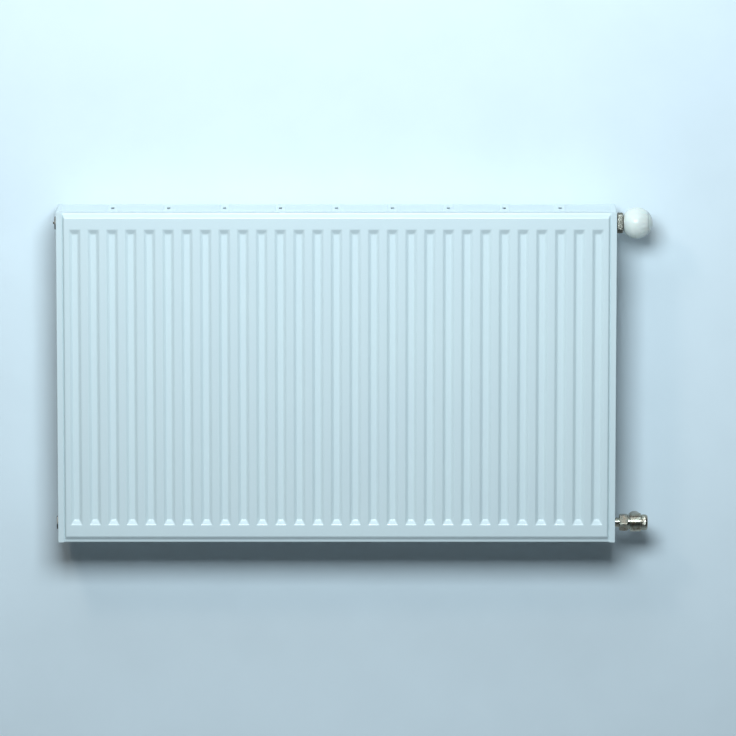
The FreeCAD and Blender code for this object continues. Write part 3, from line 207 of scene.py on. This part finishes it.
def pressed_panel():
    """One pressed sheet as a single surface, facing -Y."""
    bm = bmesh.new()
    bmesh.ops.create_grid(bm, x_segments=1, y_segments=1, size=0.5)
    bmesh.ops.rotate(bm, verts=bm.verts, cent=(0, 0, 0), matrix=Matrix.Rotation(math.pi / 2, 3, "X"))
    bmesh.ops.scale(bm, verts=bm.verts, vec=(2 * PANEL_HALF, 1, PANEL_TOP - PANEL_BOTTOM))
    middle = (PANEL_TOP + PANEL_BOTTOM) / 2
    bmesh.ops.translate(bm, verts=bm.verts, vec=(0, FACE_Y, middle))
    foot_x, foot_z = COVER_FACE - FACE_GAP, HALF_HEIGHT - RIM_HEIGHT
    face_x, face_z = foot_x - SHOULDER_SIDE, foot_z - SHOULDER
    mouth_z = HALF_HEIGHT - HEADER
    floor_z = mouth_z - FLUTE_END
    centres = [(number - (FLUTES - 1) / 2) * PITCH for number in range(FLUTES)]
    for sign in (-1, 1):
        for place in (foot_x, face_x):
            cut(bm, 0, sign * place)
        for place in (foot_z, face_z, mouth_z, floor_z):
            cut(bm, 2, sign * place)
    for centre in centres:
        for step in (FLUTE_WIDTH / 2, FLUTE_WIDTH / 2 - FLUTE_SIDE):
            cut(bm, 0, centre - step)
            cut(bm, 0, centre + step)
    tiny = 0.01 * MM
    rim = [v for v in bm.verts if abs(v.co.x) > foot_x - tiny or abs(v.co.z) > foot_z - tiny]
    half_floor = FLUTE_WIDTH / 2 - FLUTE_SIDE + tiny
    floors = [v for v in bm.verts if abs(v.co.z) < floor_z + tiny
              and min(abs(v.co.x - centre) for centre in centres) < half_floor]
    bmesh.ops.translate(bm, verts=rim + floors, vec=(0, FLUTE_DEPTH, 0))
    for face in bm.faces[:]:
        corners = list(face.verts)
        front = [vert for vert in corners if vert.co.y < FACE_Y + tiny]
        back = [vert for vert in corners if vert not in front]
        odd = front if len(front) == 1 else back
        if len(corners) == 4 and len(odd) == 1:
            opposite = corners[(corners.index(odd[0]) + 2) % 4]
            bmesh.ops.connect_verts(bm, verts=[odd[0], opposite])
    return bm


# %% Front panel, and the rear panel as its mirror image
def panel_piece(node, mirrored):
    """Rounds every bend of a pressed sheet, gives it its thickness and hands it over."""
    bm = pressed_panel()
    round_edges(bm, sharp_edges(bm, BEND_ANGLE), BEND_RADIUS, BEND_SEGMENTS)
    bmesh.ops.recalc_face_normals(bm, faces=bm.faces)
    if mirrored:
        plane = (box_of(node)[1].y + FACE_Y) / 2
        there, back = Matrix.Translation((0, plane, 0)), Matrix.Translation((0, -plane, 0))
        bmesh.ops.transform(bm, verts=bm.verts, matrix=there @ Matrix.Diagonal((1, -1, 1, 1)) @ back)
    outward = 1 if mirrored else -1
    if sum(face.normal.y * face.calc_area() for face in bm.faces) * outward < 0:
        bmesh.ops.reverse_faces(bm, faces=bm.faces)
    bm.normal_update()
    bmesh.ops.solidify(bm, geom=bm.faces[:], thickness=STEEL)
    finish_piece(bm, node)


panel_piece("front_panel_outer_sheet", False)
panel_piece("rear_panel_outer_sheet", True)

# %% [markdown]
# ## Folded, cast and cut pieces
# The side covers and the grille are folded from thin sheet, the rails are bent from thick strip, and the
# valve body is cast and then turned. All of them only need their outer edges eased, by the radius that the
# press, the bending bar or the file leaves. A copy of each CAD piece has its triangles joined into faces
# again, and then its sharp edges are bevelled; folds on the outside of a cover get a wider radius.

# %% Soft copies
WELD = 0.005 * MM
FLAT_ANGLE, EDGE_ANGLE, FOLD_ANGLE = 1, 28, 60
FOLD_SEGMENTS = 4


def soft_copy(node, radius, fold_radius=None, is_fold=None):
    """Copies a CAD node, joins its triangles into faces and rounds its sharp edges and folds."""
    bm = bmesh.new()
    bm.from_mesh(frame["nodes"][node].data)
    bmesh.ops.remove_doubles(bm, verts=bm.verts, dist=WELD)
    bmesh.ops.dissolve_limit(bm, angle_limit=math.radians(FLAT_ANGLE), verts=bm.verts, edges=bm.edges)
    if is_fold:
        folds = [edge for edge in sharp_edges(bm, FOLD_ANGLE) if all(is_fold(vert.co) for vert in edge.verts)]
        round_edges(bm, folds, fold_radius, FOLD_SEGMENTS)
    round_edges(bm, sharp_edges(bm, EDGE_ANGLE), radius)
    finish_piece(bm, node)


def near(value, *places):
    """Whether a coordinate lies on one of some planes."""
    return any(abs(value - place) < SAME_PLANE for place in places)


COVER_EDGE, COVER_FOLD = 0.12 * MM, 0.8 * MM
RAIL_EDGE, RAIL_FOLD = 0.3 * MM, 1.5 * MM
for side in ("left", "right"):
    low, high = box_of(f"{side}_side_cover")
    outside = low.x if side == "left" else high.x
    soft_copy(f"{side}_side_cover", COVER_EDGE, COVER_FOLD,
              lambda co: near(co.x, outside) and near(co.y, low.y, high.y))
    rail_low, rail_high = box_of(f"{side}_wall_bracket")
    soft_copy(f"{side}_wall_bracket", RAIL_EDGE, RAIL_FOLD,
              lambda co: near(co.y, rail_low.y) and near(co.x, rail_low.x, rail_high.x))
# Edge radii in millimetres.
SOFT_EDGES = {
    "top_grille": 0.25, "thermostat_base": 0.3, "lockshield_tail": 0.3, "lockshield_body": 0.7,
    "lockshield_gland": 0.35, "air_vent_plug": 0.6, "blanking_plug": 0.6,
    "upper_left_lug": 0.4, "upper_right_lug": 0.4, "lower_left_lug": 0.4, "lower_right_lug": 0.4,
    "upper_left_hook_sleeve": 0.3, "upper_right_hook_sleeve": 0.3, "lower_left_hook_sleeve": 0.3,
    "lower_right_hook_sleeve": 0.3,
}
for node, radius in SOFT_EDGES.items():
    soft_copy(node, radius * MM)

# %% [markdown]
# ## Turned pieces
# The thermostat head, its ring nut, the union nut and the cap over the return valve are all round about an
# axis along X, so each starts as a half-section that is spun round, as a lathe would make it. The rings
# that meet sharply are bevelled next. Shapes that aren't round, such as knurls, finger grips and hexagon
# flats, are then cut into the outside by moving the rings' corners in, as a knurling wheel or a mill would.

# %% A lathe along X
ring_low, ring_high = box_of("thermostat_ring_nut")
union_low, union_high = box_of("union_nut")
MIDDLE_Y = (ring_low.y + ring_high.y) / 2
UPPER_Z = (ring_low.z + ring_high.z) / 2
LOWER_Z = (union_low.z + union_high.z) / 2
TURNED_WELD = 0.001 * MM


def lathe(corners, height, steps, edge_radius, sharp=0):
    """Spins a half-section of (x, radius) corners in millimetres, and rounds its sharp rings."""
    bm = bmesh.new()
    section = [bm.verts.new((x * MM, MIDDLE_Y - radius * MM, height)) for x, radius in corners]
    for first, second in zip(section, section[1:]):
        bm.edges.new((first, second))
    if corners[0][1] > 0:
        bm.edges.new((section[-1], section[0]))
    bmesh.ops.spin(bm, geom=bm.verts[:] + bm.edges[:], cent=(0, MIDDLE_Y, height), axis=(1, 0, 0),
                   angle=math.tau, steps=steps, use_merge=True, use_duplicate=False)
    bmesh.ops.remove_doubles(bm, verts=bm.verts, dist=TURNED_WELD)
    bmesh.ops.recalc_face_normals(bm, faces=bm.faces)
    if edge_radius:
        rings = [edge for edge in sharp_edges(bm, sharp)
                 if abs(edge.verts[0].co.x - edge.verts[1].co.x) < EXACT]
        round_edges(bm, rings, edge_radius * MM)
    return bm


def polar(vert, height):
    """Distance from the lathe's axis in millimetres, and angle from the front in radians."""
    y, z = (vert.co.y - MIDDLE_Y) / MM, (vert.co.z - height) / MM
    return math.hypot(y, z), math.atan2(-z, -y)


def set_radius(vert, height, radius):
    """Moves a vertex straight in or out to a new distance from the axis."""
    old, _ = polar(vert, height)
    vert.co.y = MIDDLE_Y + (vert.co.y - MIDDLE_Y) * radius / old
    vert.co.z = height + (vert.co.z - height) * radius / old


def ripple(angle, count):
    """Runs from 0 to 1 and back, a number of times per turn."""
    return 0.5 - 0.5 * math.cos(count * angle)


# %% Ball handwheel with its number band and finger grips
BALL_X = 537.4
BALL_RADIUS = 27.98
WALL_RADIUS = 26.0
MOUTH_X, CAP_X = 515.0, 557.0
HUB_RADIUS, HUB_OUTSIDE, HUB_X = 14.8, 16.3, 545.0
BAND = (-12.6, -2.8)
GRIP = (4.0, 18.0)
GROOVE_WIDTH, GROOVE_DEPTH, GROOVE_DRAFT = 0.5, 0.35, 0.05
GROOVE_MARGIN = 0.4
GRIPS, GRIP_DEPTH = 18, 0.55
OUTSIDE_STEPS = 40
SKIN = 0.5


def on_ball(x, radius=BALL_RADIUS):
    """A corner of the section on a sphere about the ball's centre."""
    return x, math.sqrt(radius ** 2 - (x - BALL_X) ** 2)


outside = [on_ball(MOUTH_X)]
turn = math.acos((MOUTH_X - BALL_X) / BALL_RADIUS)
last = math.acos((CAP_X - BALL_X) / BALL_RADIUS)
for number in range(1, OUTSIDE_STEPS):
    along = math.cos(turn + (last - turn) * number / OUTSIDE_STEPS)
    outside.append(on_ball(BALL_X + BALL_RADIUS * along))
outside.append(on_ball(CAP_X))
for edge_of_band in BAND:
    start = BALL_X + edge_of_band
    end = start + GROOVE_WIDTH
    outside = [corner for corner in outside
               if not start - GROOVE_MARGIN < corner[0] < end + GROOVE_MARGIN]
    outside += [on_ball(start), (start + GROOVE_DRAFT, on_ball(start)[1] - GROOVE_DEPTH),
                (end - GROOVE_DRAFT, on_ball(end)[1] - GROOVE_DEPTH), on_ball(end)]
outside.sort()
inside = [on_ball(x, WALL_RADIUS) for x in (CAP_X, 554, 550, 545, 540, 535, 530, 525, 521)]
hub_foot = BALL_X - math.sqrt(WALL_RADIUS ** 2 - HUB_OUTSIDE ** 2)
hub = [on_ball(hub_foot, WALL_RADIUS), (HUB_X, HUB_OUTSIDE), (HUB_X, HUB_RADIUS)]
section = [(MOUTH_X, HUB_RADIUS)] + outside + inside + hub
bm = lathe(section, UPPER_Z, steps=144, edge_radius=0.3, sharp=50)
for vert in bm.verts:
    along = vert.co.x / MM - BALL_X
    radius, angle = polar(vert, UPPER_Z)
    if GRIP[0] < along < GRIP[1] and math.hypot(along, radius) > BALL_RADIUS - SKIN:
        swell = math.sin(math.pi * (along - GRIP[0]) / (GRIP[1] - GRIP[0]))
        dip = max(0.0, math.cos(GRIPS * angle)) * swell * GRIP_DEPTH
        set_radius(vert, UPPER_Z, radius - dip)
finish_piece(bm, "thermostat_handwheel")

# %% Domed end cap with one fine ring
DOME_RING_RADIUS = 7.0
plug = [(555, 0.0), (555, 15.8), (556, 16.8), (557.4, 16.8)]
dome = [on_ball(x) for x in (557.4, 558.2, 559, 560, 561, 562)]
ring_x = BALL_X + math.sqrt(BALL_RADIUS ** 2 - DOME_RING_RADIUS ** 2)
dome += [on_ball(ring_x - 0.4), (ring_x - 0.35, 7.5), (ring_x - 0.2, 7.1), (ring_x, DOME_RING_RADIUS)]
dome += [on_ball(x) for x in (564.8, 565.1, 565.3)] + [(BALL_X + BALL_RADIUS, 0.0)]
bm = lathe(plug + dome, UPPER_Z, steps=144, edge_radius=0.25, sharp=40)
finish_piece(bm, "thermostat_end_cap")

# %% Raised numbers on the handwheel, from off to full
NUMBER_HEIGHT = 4.2
FONT_SIZE = NUMBER_HEIGHT * 1.35 * MM
NUMBER_RELIEF, NUMBER_BEVEL = 0.2 * MM, 0.06 * MM
NUMBER_WELD = 0.002 * MM
FIRST_ANGLE, ANGLE_STEP = 150, 60
number_x = BALL_X + (BAND[0] + BAND[1] + GROOVE_WIDTH) / 2
tilt = math.asin((number_x - BALL_X) / BALL_RADIUS)
for number in range(6):
    curve = bpy.data.curves.new(f"number_{number}", "FONT")
    curve.body = str(number)
    curve.size = FONT_SIZE
    curve.align_x = "CENTER"
    curve.align_y = "CENTER"
    curve.extrude = NUMBER_RELIEF
    curve.bevel_depth = NUMBER_BEVEL
    curve.bevel_resolution = 1
    drawn = bpy.data.objects.new("drawn_number", curve)
    bpy.context.scene.collection.objects.link(drawn)
    flat_mesh = bpy.data.meshes.new_from_object(drawn)
    bm = bmesh.new()
    bm.from_mesh(flat_mesh)
    bpy.data.objects.remove(drawn)
    bpy.data.meshes.remove(flat_mesh)
    bmesh.ops.remove_doubles(bm, verts=bm.verts, dist=NUMBER_WELD)
    upright = Matrix(((0, 1, 0), (0, 0, -1), (-1, 0, 0))).to_4x4()
    lean = Matrix.Rotation(-tilt, 4, "Z")
    angle = math.radians(FIRST_ANGLE - ANGLE_STEP * number)
    centre = Matrix.Translation((BALL_X * MM, MIDDLE_Y, UPPER_Z)) @ Matrix.Rotation(angle, 4, "X") @ lean
    surface = centre @ Matrix.Translation((0, -BALL_RADIUS * MM, 0))
    bmesh.ops.transform(bm, verts=bm.verts, matrix=surface @ upright)
    finish_piece(bm, "thermostat_handwheel", f"raised_number_{number}", replace=False)

# %% Ring nut with a straight knurl
RING_RADIUS = 18.5
KNURLS = 90
KNURL_DEPTH = 0.6
KNURL_SKIN = 0.1
section = [(501, 14.8), (511.5, 14.8), (511.5, 12.5), (513, 12.5), (513, 17.3), (512.2, 18.1), (511.2, 18.1),
           (510.8, RING_RADIUS), (503.2, RING_RADIUS), (502.8, 18.1), (501.8, 18.1), (501, 17.3)]
bm = lathe(section, UPPER_Z, steps=KNURLS * 4, edge_radius=0.0)
for vert in bm.verts:
    radius, angle = polar(vert, UPPER_Z)
    if radius > RING_RADIUS - KNURL_SKIN:
        set_radius(vert, UPPER_Z, radius - KNURL_DEPTH * ripple(angle, KNURLS))
finish_piece(bm, "thermostat_ring_nut")

# %% Union nut with turned chamfers on its hexagon
UNION_FLATS = 28.0
UNION_START, UNION_END = 509, 525
CHAMFER_RADIUS, CHAMFER_MARGIN = 13.4, 0.2
CHAMFER_SLOPE = math.tan(math.radians(30))
SECTOR = 60


def cut_hexagon(bm, height, flats, start, end, round_radius):
    """Cuts six flats into the outer rings, whose ends slope back where the chamfer crosses the corners."""
    for vert in bm.verts:
        radius, angle = polar(vert, height)
        if radius > round_radius + CHAMFER_MARGIN:
            sector = math.radians(math.degrees(angle) % SECTOR - SECTOR / 2)
            flat_radius = flats / 2 / math.cos(sector)
            middle = (start + end) / 2 * MM
            pull = max(flat_radius - round_radius, 0.0) * CHAMFER_SLOPE * MM
            vert.co.x = start * MM + pull if vert.co.x < middle else end * MM - pull
            set_radius(vert, height, flat_radius)
    bmesh.ops.recalc_face_normals(bm, faces=bm.faces)


section = [(UNION_START, 8.6), (510.5, 8.6), (510.5, 12.1), (UNION_END, 12.1), (UNION_END, CHAMFER_RADIUS),
           (524, 16), (510, 16), (UNION_START, CHAMFER_RADIUS)]
bm = lathe(section, LOWER_Z, steps=96, edge_radius=0.0)
cut_hexagon(bm, LOWER_Z, UNION_FLATS, UNION_START, UNION_END, CHAMFER_RADIUS)
round_edges(bm, sharp_edges(bm, 24), 0.35 * MM)
finish_piece(bm, "union_nut")

# %% Cap over the return valve's spindle
CAP_FLUTES, CAP_FLUTE_DEPTH = 48, 0.45
CAP_GRIP = (550.4, 555.8)
CAP_GRIP_RADIUS = 13.95
section = [(558.5, 0.0), (558.5, 10.5), (548.3, 10.5), (548.3, 13.5), (549.3, 14), (550.2, 14), (550.6, 14),
           (555.6, 14), (556, 14), (557.4, 13.85), (558.7, 13.2), (559.6, 12.2), (560.1, 10.9), (560.3, 9.4),
           (560.3, 0.0)]
bm = lathe(section, LOWER_Z, steps=192, edge_radius=0.25, sharp=40)
for vert in bm.verts:
    radius, angle = polar(vert, LOWER_Z)
    if radius > CAP_GRIP_RADIUS and CAP_GRIP[0] < vert.co.x / MM < CAP_GRIP[1]:
        set_radius(vert, LOWER_Z, radius - CAP_FLUTE_DEPTH * ripple(angle, CAP_FLUTES))
finish_piece(bm, "lockshield_cap")

# %% [markdown]
# ## Finishes
# No surface is one flat colour. Each material starts from the same three things: two tones that drift into
# each other in soft patches, a roughness that drifts with them, and a fine relief. Their sizes come from
# how the surface is made: paint levels into waves a millimetre or two wide, tumbled castings are grainy,
# and a lathe leaves rings a fraction of a millimetre apart.

# %% One way to build a finish
WAVE_RADIANS = 20  # the wave node turns by this angle for each unit of length at scale 1
NOISE_RANGE = {"From Min": 0.3, "From Max": 0.7}
BUMP_STRENGTH = 0.8


def finish(name, light, dark, patch, grain, relief, smooth, rough,
           metallic=0.0, stretch=(1, 1, 1), rings=0.0, **uniform):
    """A material from two tones, a patch size, a grain size and its relief in mm, and a roughness range."""
    material = bpy.data.materials.new(name)
    material.use_nodes = True
    tree = material.node_tree
    shader = tree.nodes["Principled BSDF"]
    place = add(tree, "ShaderNodeTexCoord").outputs["Object"]
    stretched = add(tree, "ShaderNodeMapping", {"Vector": place, "Scale": stretch}).outputs["Vector"]
    patches = add(tree, "ShaderNodeTexNoise", {"Vector": stretched, "Scale": 1 / (patch * MM), "Detail": 3.0})
    spread = add(tree, "ShaderNodeMapRange", {"Value": patches.outputs["Fac"], **NOISE_RANGE})
    tones = add(tree, "ShaderNodeMix", {0: spread.outputs["Result"], 6: linear(dark), 7: linear(light)},
                data_type="RGBA")
    sheen = add(tree, "ShaderNodeMapRange", {"Value": patches.outputs["Fac"], **NOISE_RANGE,
                                             "To Min": rough, "To Max": smooth})
    grains = add(tree, "ShaderNodeTexNoise", {"Vector": stretched, "Scale": 1 / (grain * MM), "Detail": 2.0})
    height = grains.outputs["Fac"]
    if rings:
        ring_scale = math.tau / WAVE_RADIANS / (rings * MM)
        lines = add(tree, "ShaderNodeTexWave", {"Vector": place, "Scale": ring_scale, "Distortion": 0.6,
                                                "Detail": 1.0, "Detail Scale": 2.0}, bands_direction="X")
        total = add(tree, "ShaderNodeMath", {0: height, 1: lines.outputs["Fac"]}, operation="ADD")
        height = total.outputs["Value"]
    bump = add(tree, "ShaderNodeBump", {"Height": height, "Distance": relief * MM, "Strength": BUMP_STRENGTH})
    for socket, value in (("Base Color", tones.outputs[2]), ("Roughness", sheen.outputs["Result"]),
                          ("Normal", bump.outputs["Normal"])):
        tree.links.new(value, shader.inputs[socket])
    shader.inputs["Metallic"].default_value = metallic
    for socket, value in uniform.items():
        shader.inputs[socket.replace("_", " ")].default_value = value
    return material


# %% Painted steel
# The eye sees a clean cool white with a soft gloss, and faint waves like orange skin at a low angle.
FINISH = {}
FINISH["white_enamel"] = finish("stoved_white_enamel", "#e7f0f0", "#e5eeef", patch=160, grain=1.6,
                                relief=0.01, smooth=0.3, rough=0.33, Coat_Weight=0.3, Coat_Roughness=0.14)
# Powder on the rails flows less, so it looks duller and a little pebbled.
FINISH["rail_enamel"] = finish("white_powder_coat", "#e2e6e8", "#d8dde0", patch=40, grain=0.7, relief=0.02,
                               smooth=0.42, rough=0.5)

# %% Bare and plated metals
# Bright zinc on spring steel: cool grey with cloudy patches from the plating bath.
FINISH["clip_steel"] = finish("zinc_plated_spring_steel", "#bcc1c4", "#969b9f", patch=3, grain=0.4,
                              relief=0.004, smooth=0.25, rough=0.38, metallic=1.0)
# Nickel on pressed brass plugs: dull, warm grey, with turning rings on the heads.
FINISH["plated_plug"] = finish("dull_nickel_plated_plug", "#8d8c88", "#6f6e6a", patch=5, grain=0.5,
                               relief=0.006, smooth=0.32, rough=0.46, metallic=1.0, rings=0.35)
# Fresh machined brass inside the valves: yellow, with the tool's rings catching the light.
FINISH["raw_brass"] = finish("machined_brass", "#c9ab68", "#ab8b4b", patch=4, grain=0.5, relief=0.005,
                             smooth=0.2, rough=0.32, metallic=1.0, rings=0.3)
# Nickel over a knurled nut: bright crests, and a warmer grey where fingers have worn it.
FINISH["nickel_ring"] = finish("nickel_plated_knurled_nut", "#aaa598", "#7b766c", patch=6, grain=0.4,
                               relief=0.006, smooth=0.2, rough=0.34, metallic=1.0)
# Nickel on hot-pressed brass: greenish grey, with pinkish patches where the plating is thin.
FINISH["lockshield_brass"] = finish("nickel_plated_hot_pressed_brass", "#c6c4b4", "#9a8674", patch=9,
                                    grain=0.6, relief=0.008, smooth=0.18, rough=0.3, metallic=1.0, rings=0.5)
# The liquid-filled sensor is a drawn can, so its haze runs in long streaks.
FINISH["sensor_can"] = finish("drawn_aluminium_can", "#cfd0cf", "#b3b5b5", patch=6, grain=0.5, relief=0.004,
                              smooth=0.24, rough=0.36, metallic=1.0, stretch=(0.15, 1, 1))

# %% Plastics and rubber
# Glossy moulded handwheel: pure white with the slightest waviness, and light that enters a little way.
FINISH["white_plastic"] = finish("gloss_white_abs", "#f3f3ea", "#eff0e7", patch=25, grain=3.0, relief=0.006,
                                 smooth=0.2, rough=0.28, Subsurface_Weight=0.06, Subsurface_Scale=0.001)
# Sleeves are glass-filled nylon: mid grey, matt, with a fine spark-eroded mould grain.
FINISH["grey_plastic"] = finish("moulded_grey_nylon", "#5f6265", "#505356", patch=8, grain=0.35, relief=0.01,
                                smooth=0.45, rough=0.58)
# The push rod is waxy acetal, off-white and slightly translucent.
FINISH["rod_plastic"] = finish("turned_acetal_rod", "#e2e1db", "#d6d5cd", patch=5, grain=0.5,
                               relief=0.004, smooth=0.34, rough=0.44, rings=0.3,
                               Subsurface_Weight=0.1, Subsurface_Scale=0.001)
# Seals are moulded rubber with a dusty bloom in patches.
FINISH["black_rubber"] = finish("moulded_seal_rubber", "#2a2a2b", "#161616", patch=3, grain=0.3, relief=0.01,
                                smooth=0.55, rough=0.75)

# %% Hand every mesh its finish
for item in bpy.data.objects:
    if item.type == "MESH":
        slot_name = item.get("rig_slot") or SLOT_OF[item.get("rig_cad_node") or item.name]
        item.data.materials.clear()
        item.data.materials.append(FINISH[slot_name])
print("materials:", ", ".join(sorted(material.name for material in FINISH.values())))

# %% [markdown]
# ## Stage, light and camera
# The radiator hangs in front of a plain pale wall, above a plain pale floor. A broad soft light high in
# front gives the pale even face, a long strip overhead brightens the ledges and throws the dark shadow on
# the wall below, and a small lamp at the left puts a soft shadow to the right of the thermostat head. The
# wall's paint lets light through from behind, so a view from the back shows the rails and the rear panel.

# %% Wall and floor
FLOOR_DROP = 2.6
STAGE_SIZE = 30
bpy.ops.mesh.primitive_plane_add(size=STAGE_SIZE, location=(0, 0, 0), rotation=(math.pi / 2, 0, 0))
wall = bpy.context.object
wall.name = "stage_wall"
wall_paint = finish("stage_wall_paint", "#f2f9fd", "#eff6fa", patch=120, grain=2.5, relief=0.02,
                    smooth=0.85, rough=0.95)
tree = wall_paint.node_tree
behind = add(tree, "ShaderNodeNewGeometry").outputs["Backfacing"]
clear = add(tree, "ShaderNodeBsdfTransparent").outputs["BSDF"]
solid = tree.nodes["Principled BSDF"].outputs["BSDF"]
seen = add(tree, "ShaderNodeMixShader", {0: behind, 1: solid, 2: clear})
tree.links.new(seen.outputs["Shader"], tree.nodes["Material Output"].inputs["Surface"])
wall.data.materials.append(wall_paint)
bpy.ops.mesh.primitive_plane_add(size=STAGE_SIZE, location=(0, 0, cad_box[0][2] - FLOOR_DROP))
floor = bpy.context.object
floor.name = "stage_floor"
floor.data.materials.append(finish("stage_floor_paint", "#d9dee1", "#d3d8dc", patch=200, grain=4, relief=0.02,
                                   smooth=0.7, rough=0.85))
print("stage:", wall.name, floor.name)


# %% Lights
def softbox(name, place, aim, width, height, power, colour):
    """A rectangular area light aimed at a point."""
    light = bpy.data.lights.new(name, "AREA")
    light.shape = "RECTANGLE"
    light.size, light.size_y = width, height
    light.energy = power
    light.color = linear(colour)[:3]
    lamp = bpy.data.objects.new(name, light)
    lamp.location = place
    lamp.rotation_euler = (Vector(aim) - Vector(place)).to_track_quat("-Z", "Y").to_euler()
    bpy.context.scene.collection.objects.link(lamp)


softbox("overhead", (0.0, -1.1, 1.9), (0, 0, 0.2), 2.4, 0.7, 12, "#dff4ff")
softbox("front_high", (-0.05, -2.9, 1.45), (0, 0, 0.2), 1.3, 0.9, 85, "#dff4ff")
softbox("left_key", (-1.3, -2.1, 2.15), (0.2, 0, 0), 0.4, 0.4, 9, "#fff6ea")
world = bpy.data.worlds.new("studio_air")
bpy.context.scene.world = world
world.use_nodes = True
background = world.node_tree.nodes["Background"]
background.inputs["Color"].default_value = linear("#d4e6f0")
background.inputs["Strength"].default_value = 0.03
print("lights:", ", ".join(sorted(light.name for light in bpy.data.lights)))

# %% Camera
DISTANCE = 12.0
ELEVATION = math.radians(10)
VIEW_WIDTH = 1.316
SENSOR_WIDTH = 36
FAR_CLIP = 100
camera_data = bpy.data.cameras.new("long_lens")
camera = bpy.data.objects.new("long_lens", camera_data)
bpy.context.scene.collection.objects.link(camera)
target = Vector((0.0563, FACE_Y, 0.0182))
camera.location = target + DISTANCE * Vector((0, -math.cos(ELEVATION), math.sin(ELEVATION)))
camera.rotation_euler = (target - camera.location).to_track_quat("-Z", "Y").to_euler()
camera_data.sensor_width = SENSOR_WIDTH
camera_data.lens = SENSOR_WIDTH * DISTANCE / VIEW_WIDTH
camera_data.clip_end = FAR_CLIP
bpy.context.scene.camera = camera
bpy.context.scene.view_settings.view_transform = "Standard"
print("camera:", camera.name, "lens in mm:", round(camera_data.lens, 1))
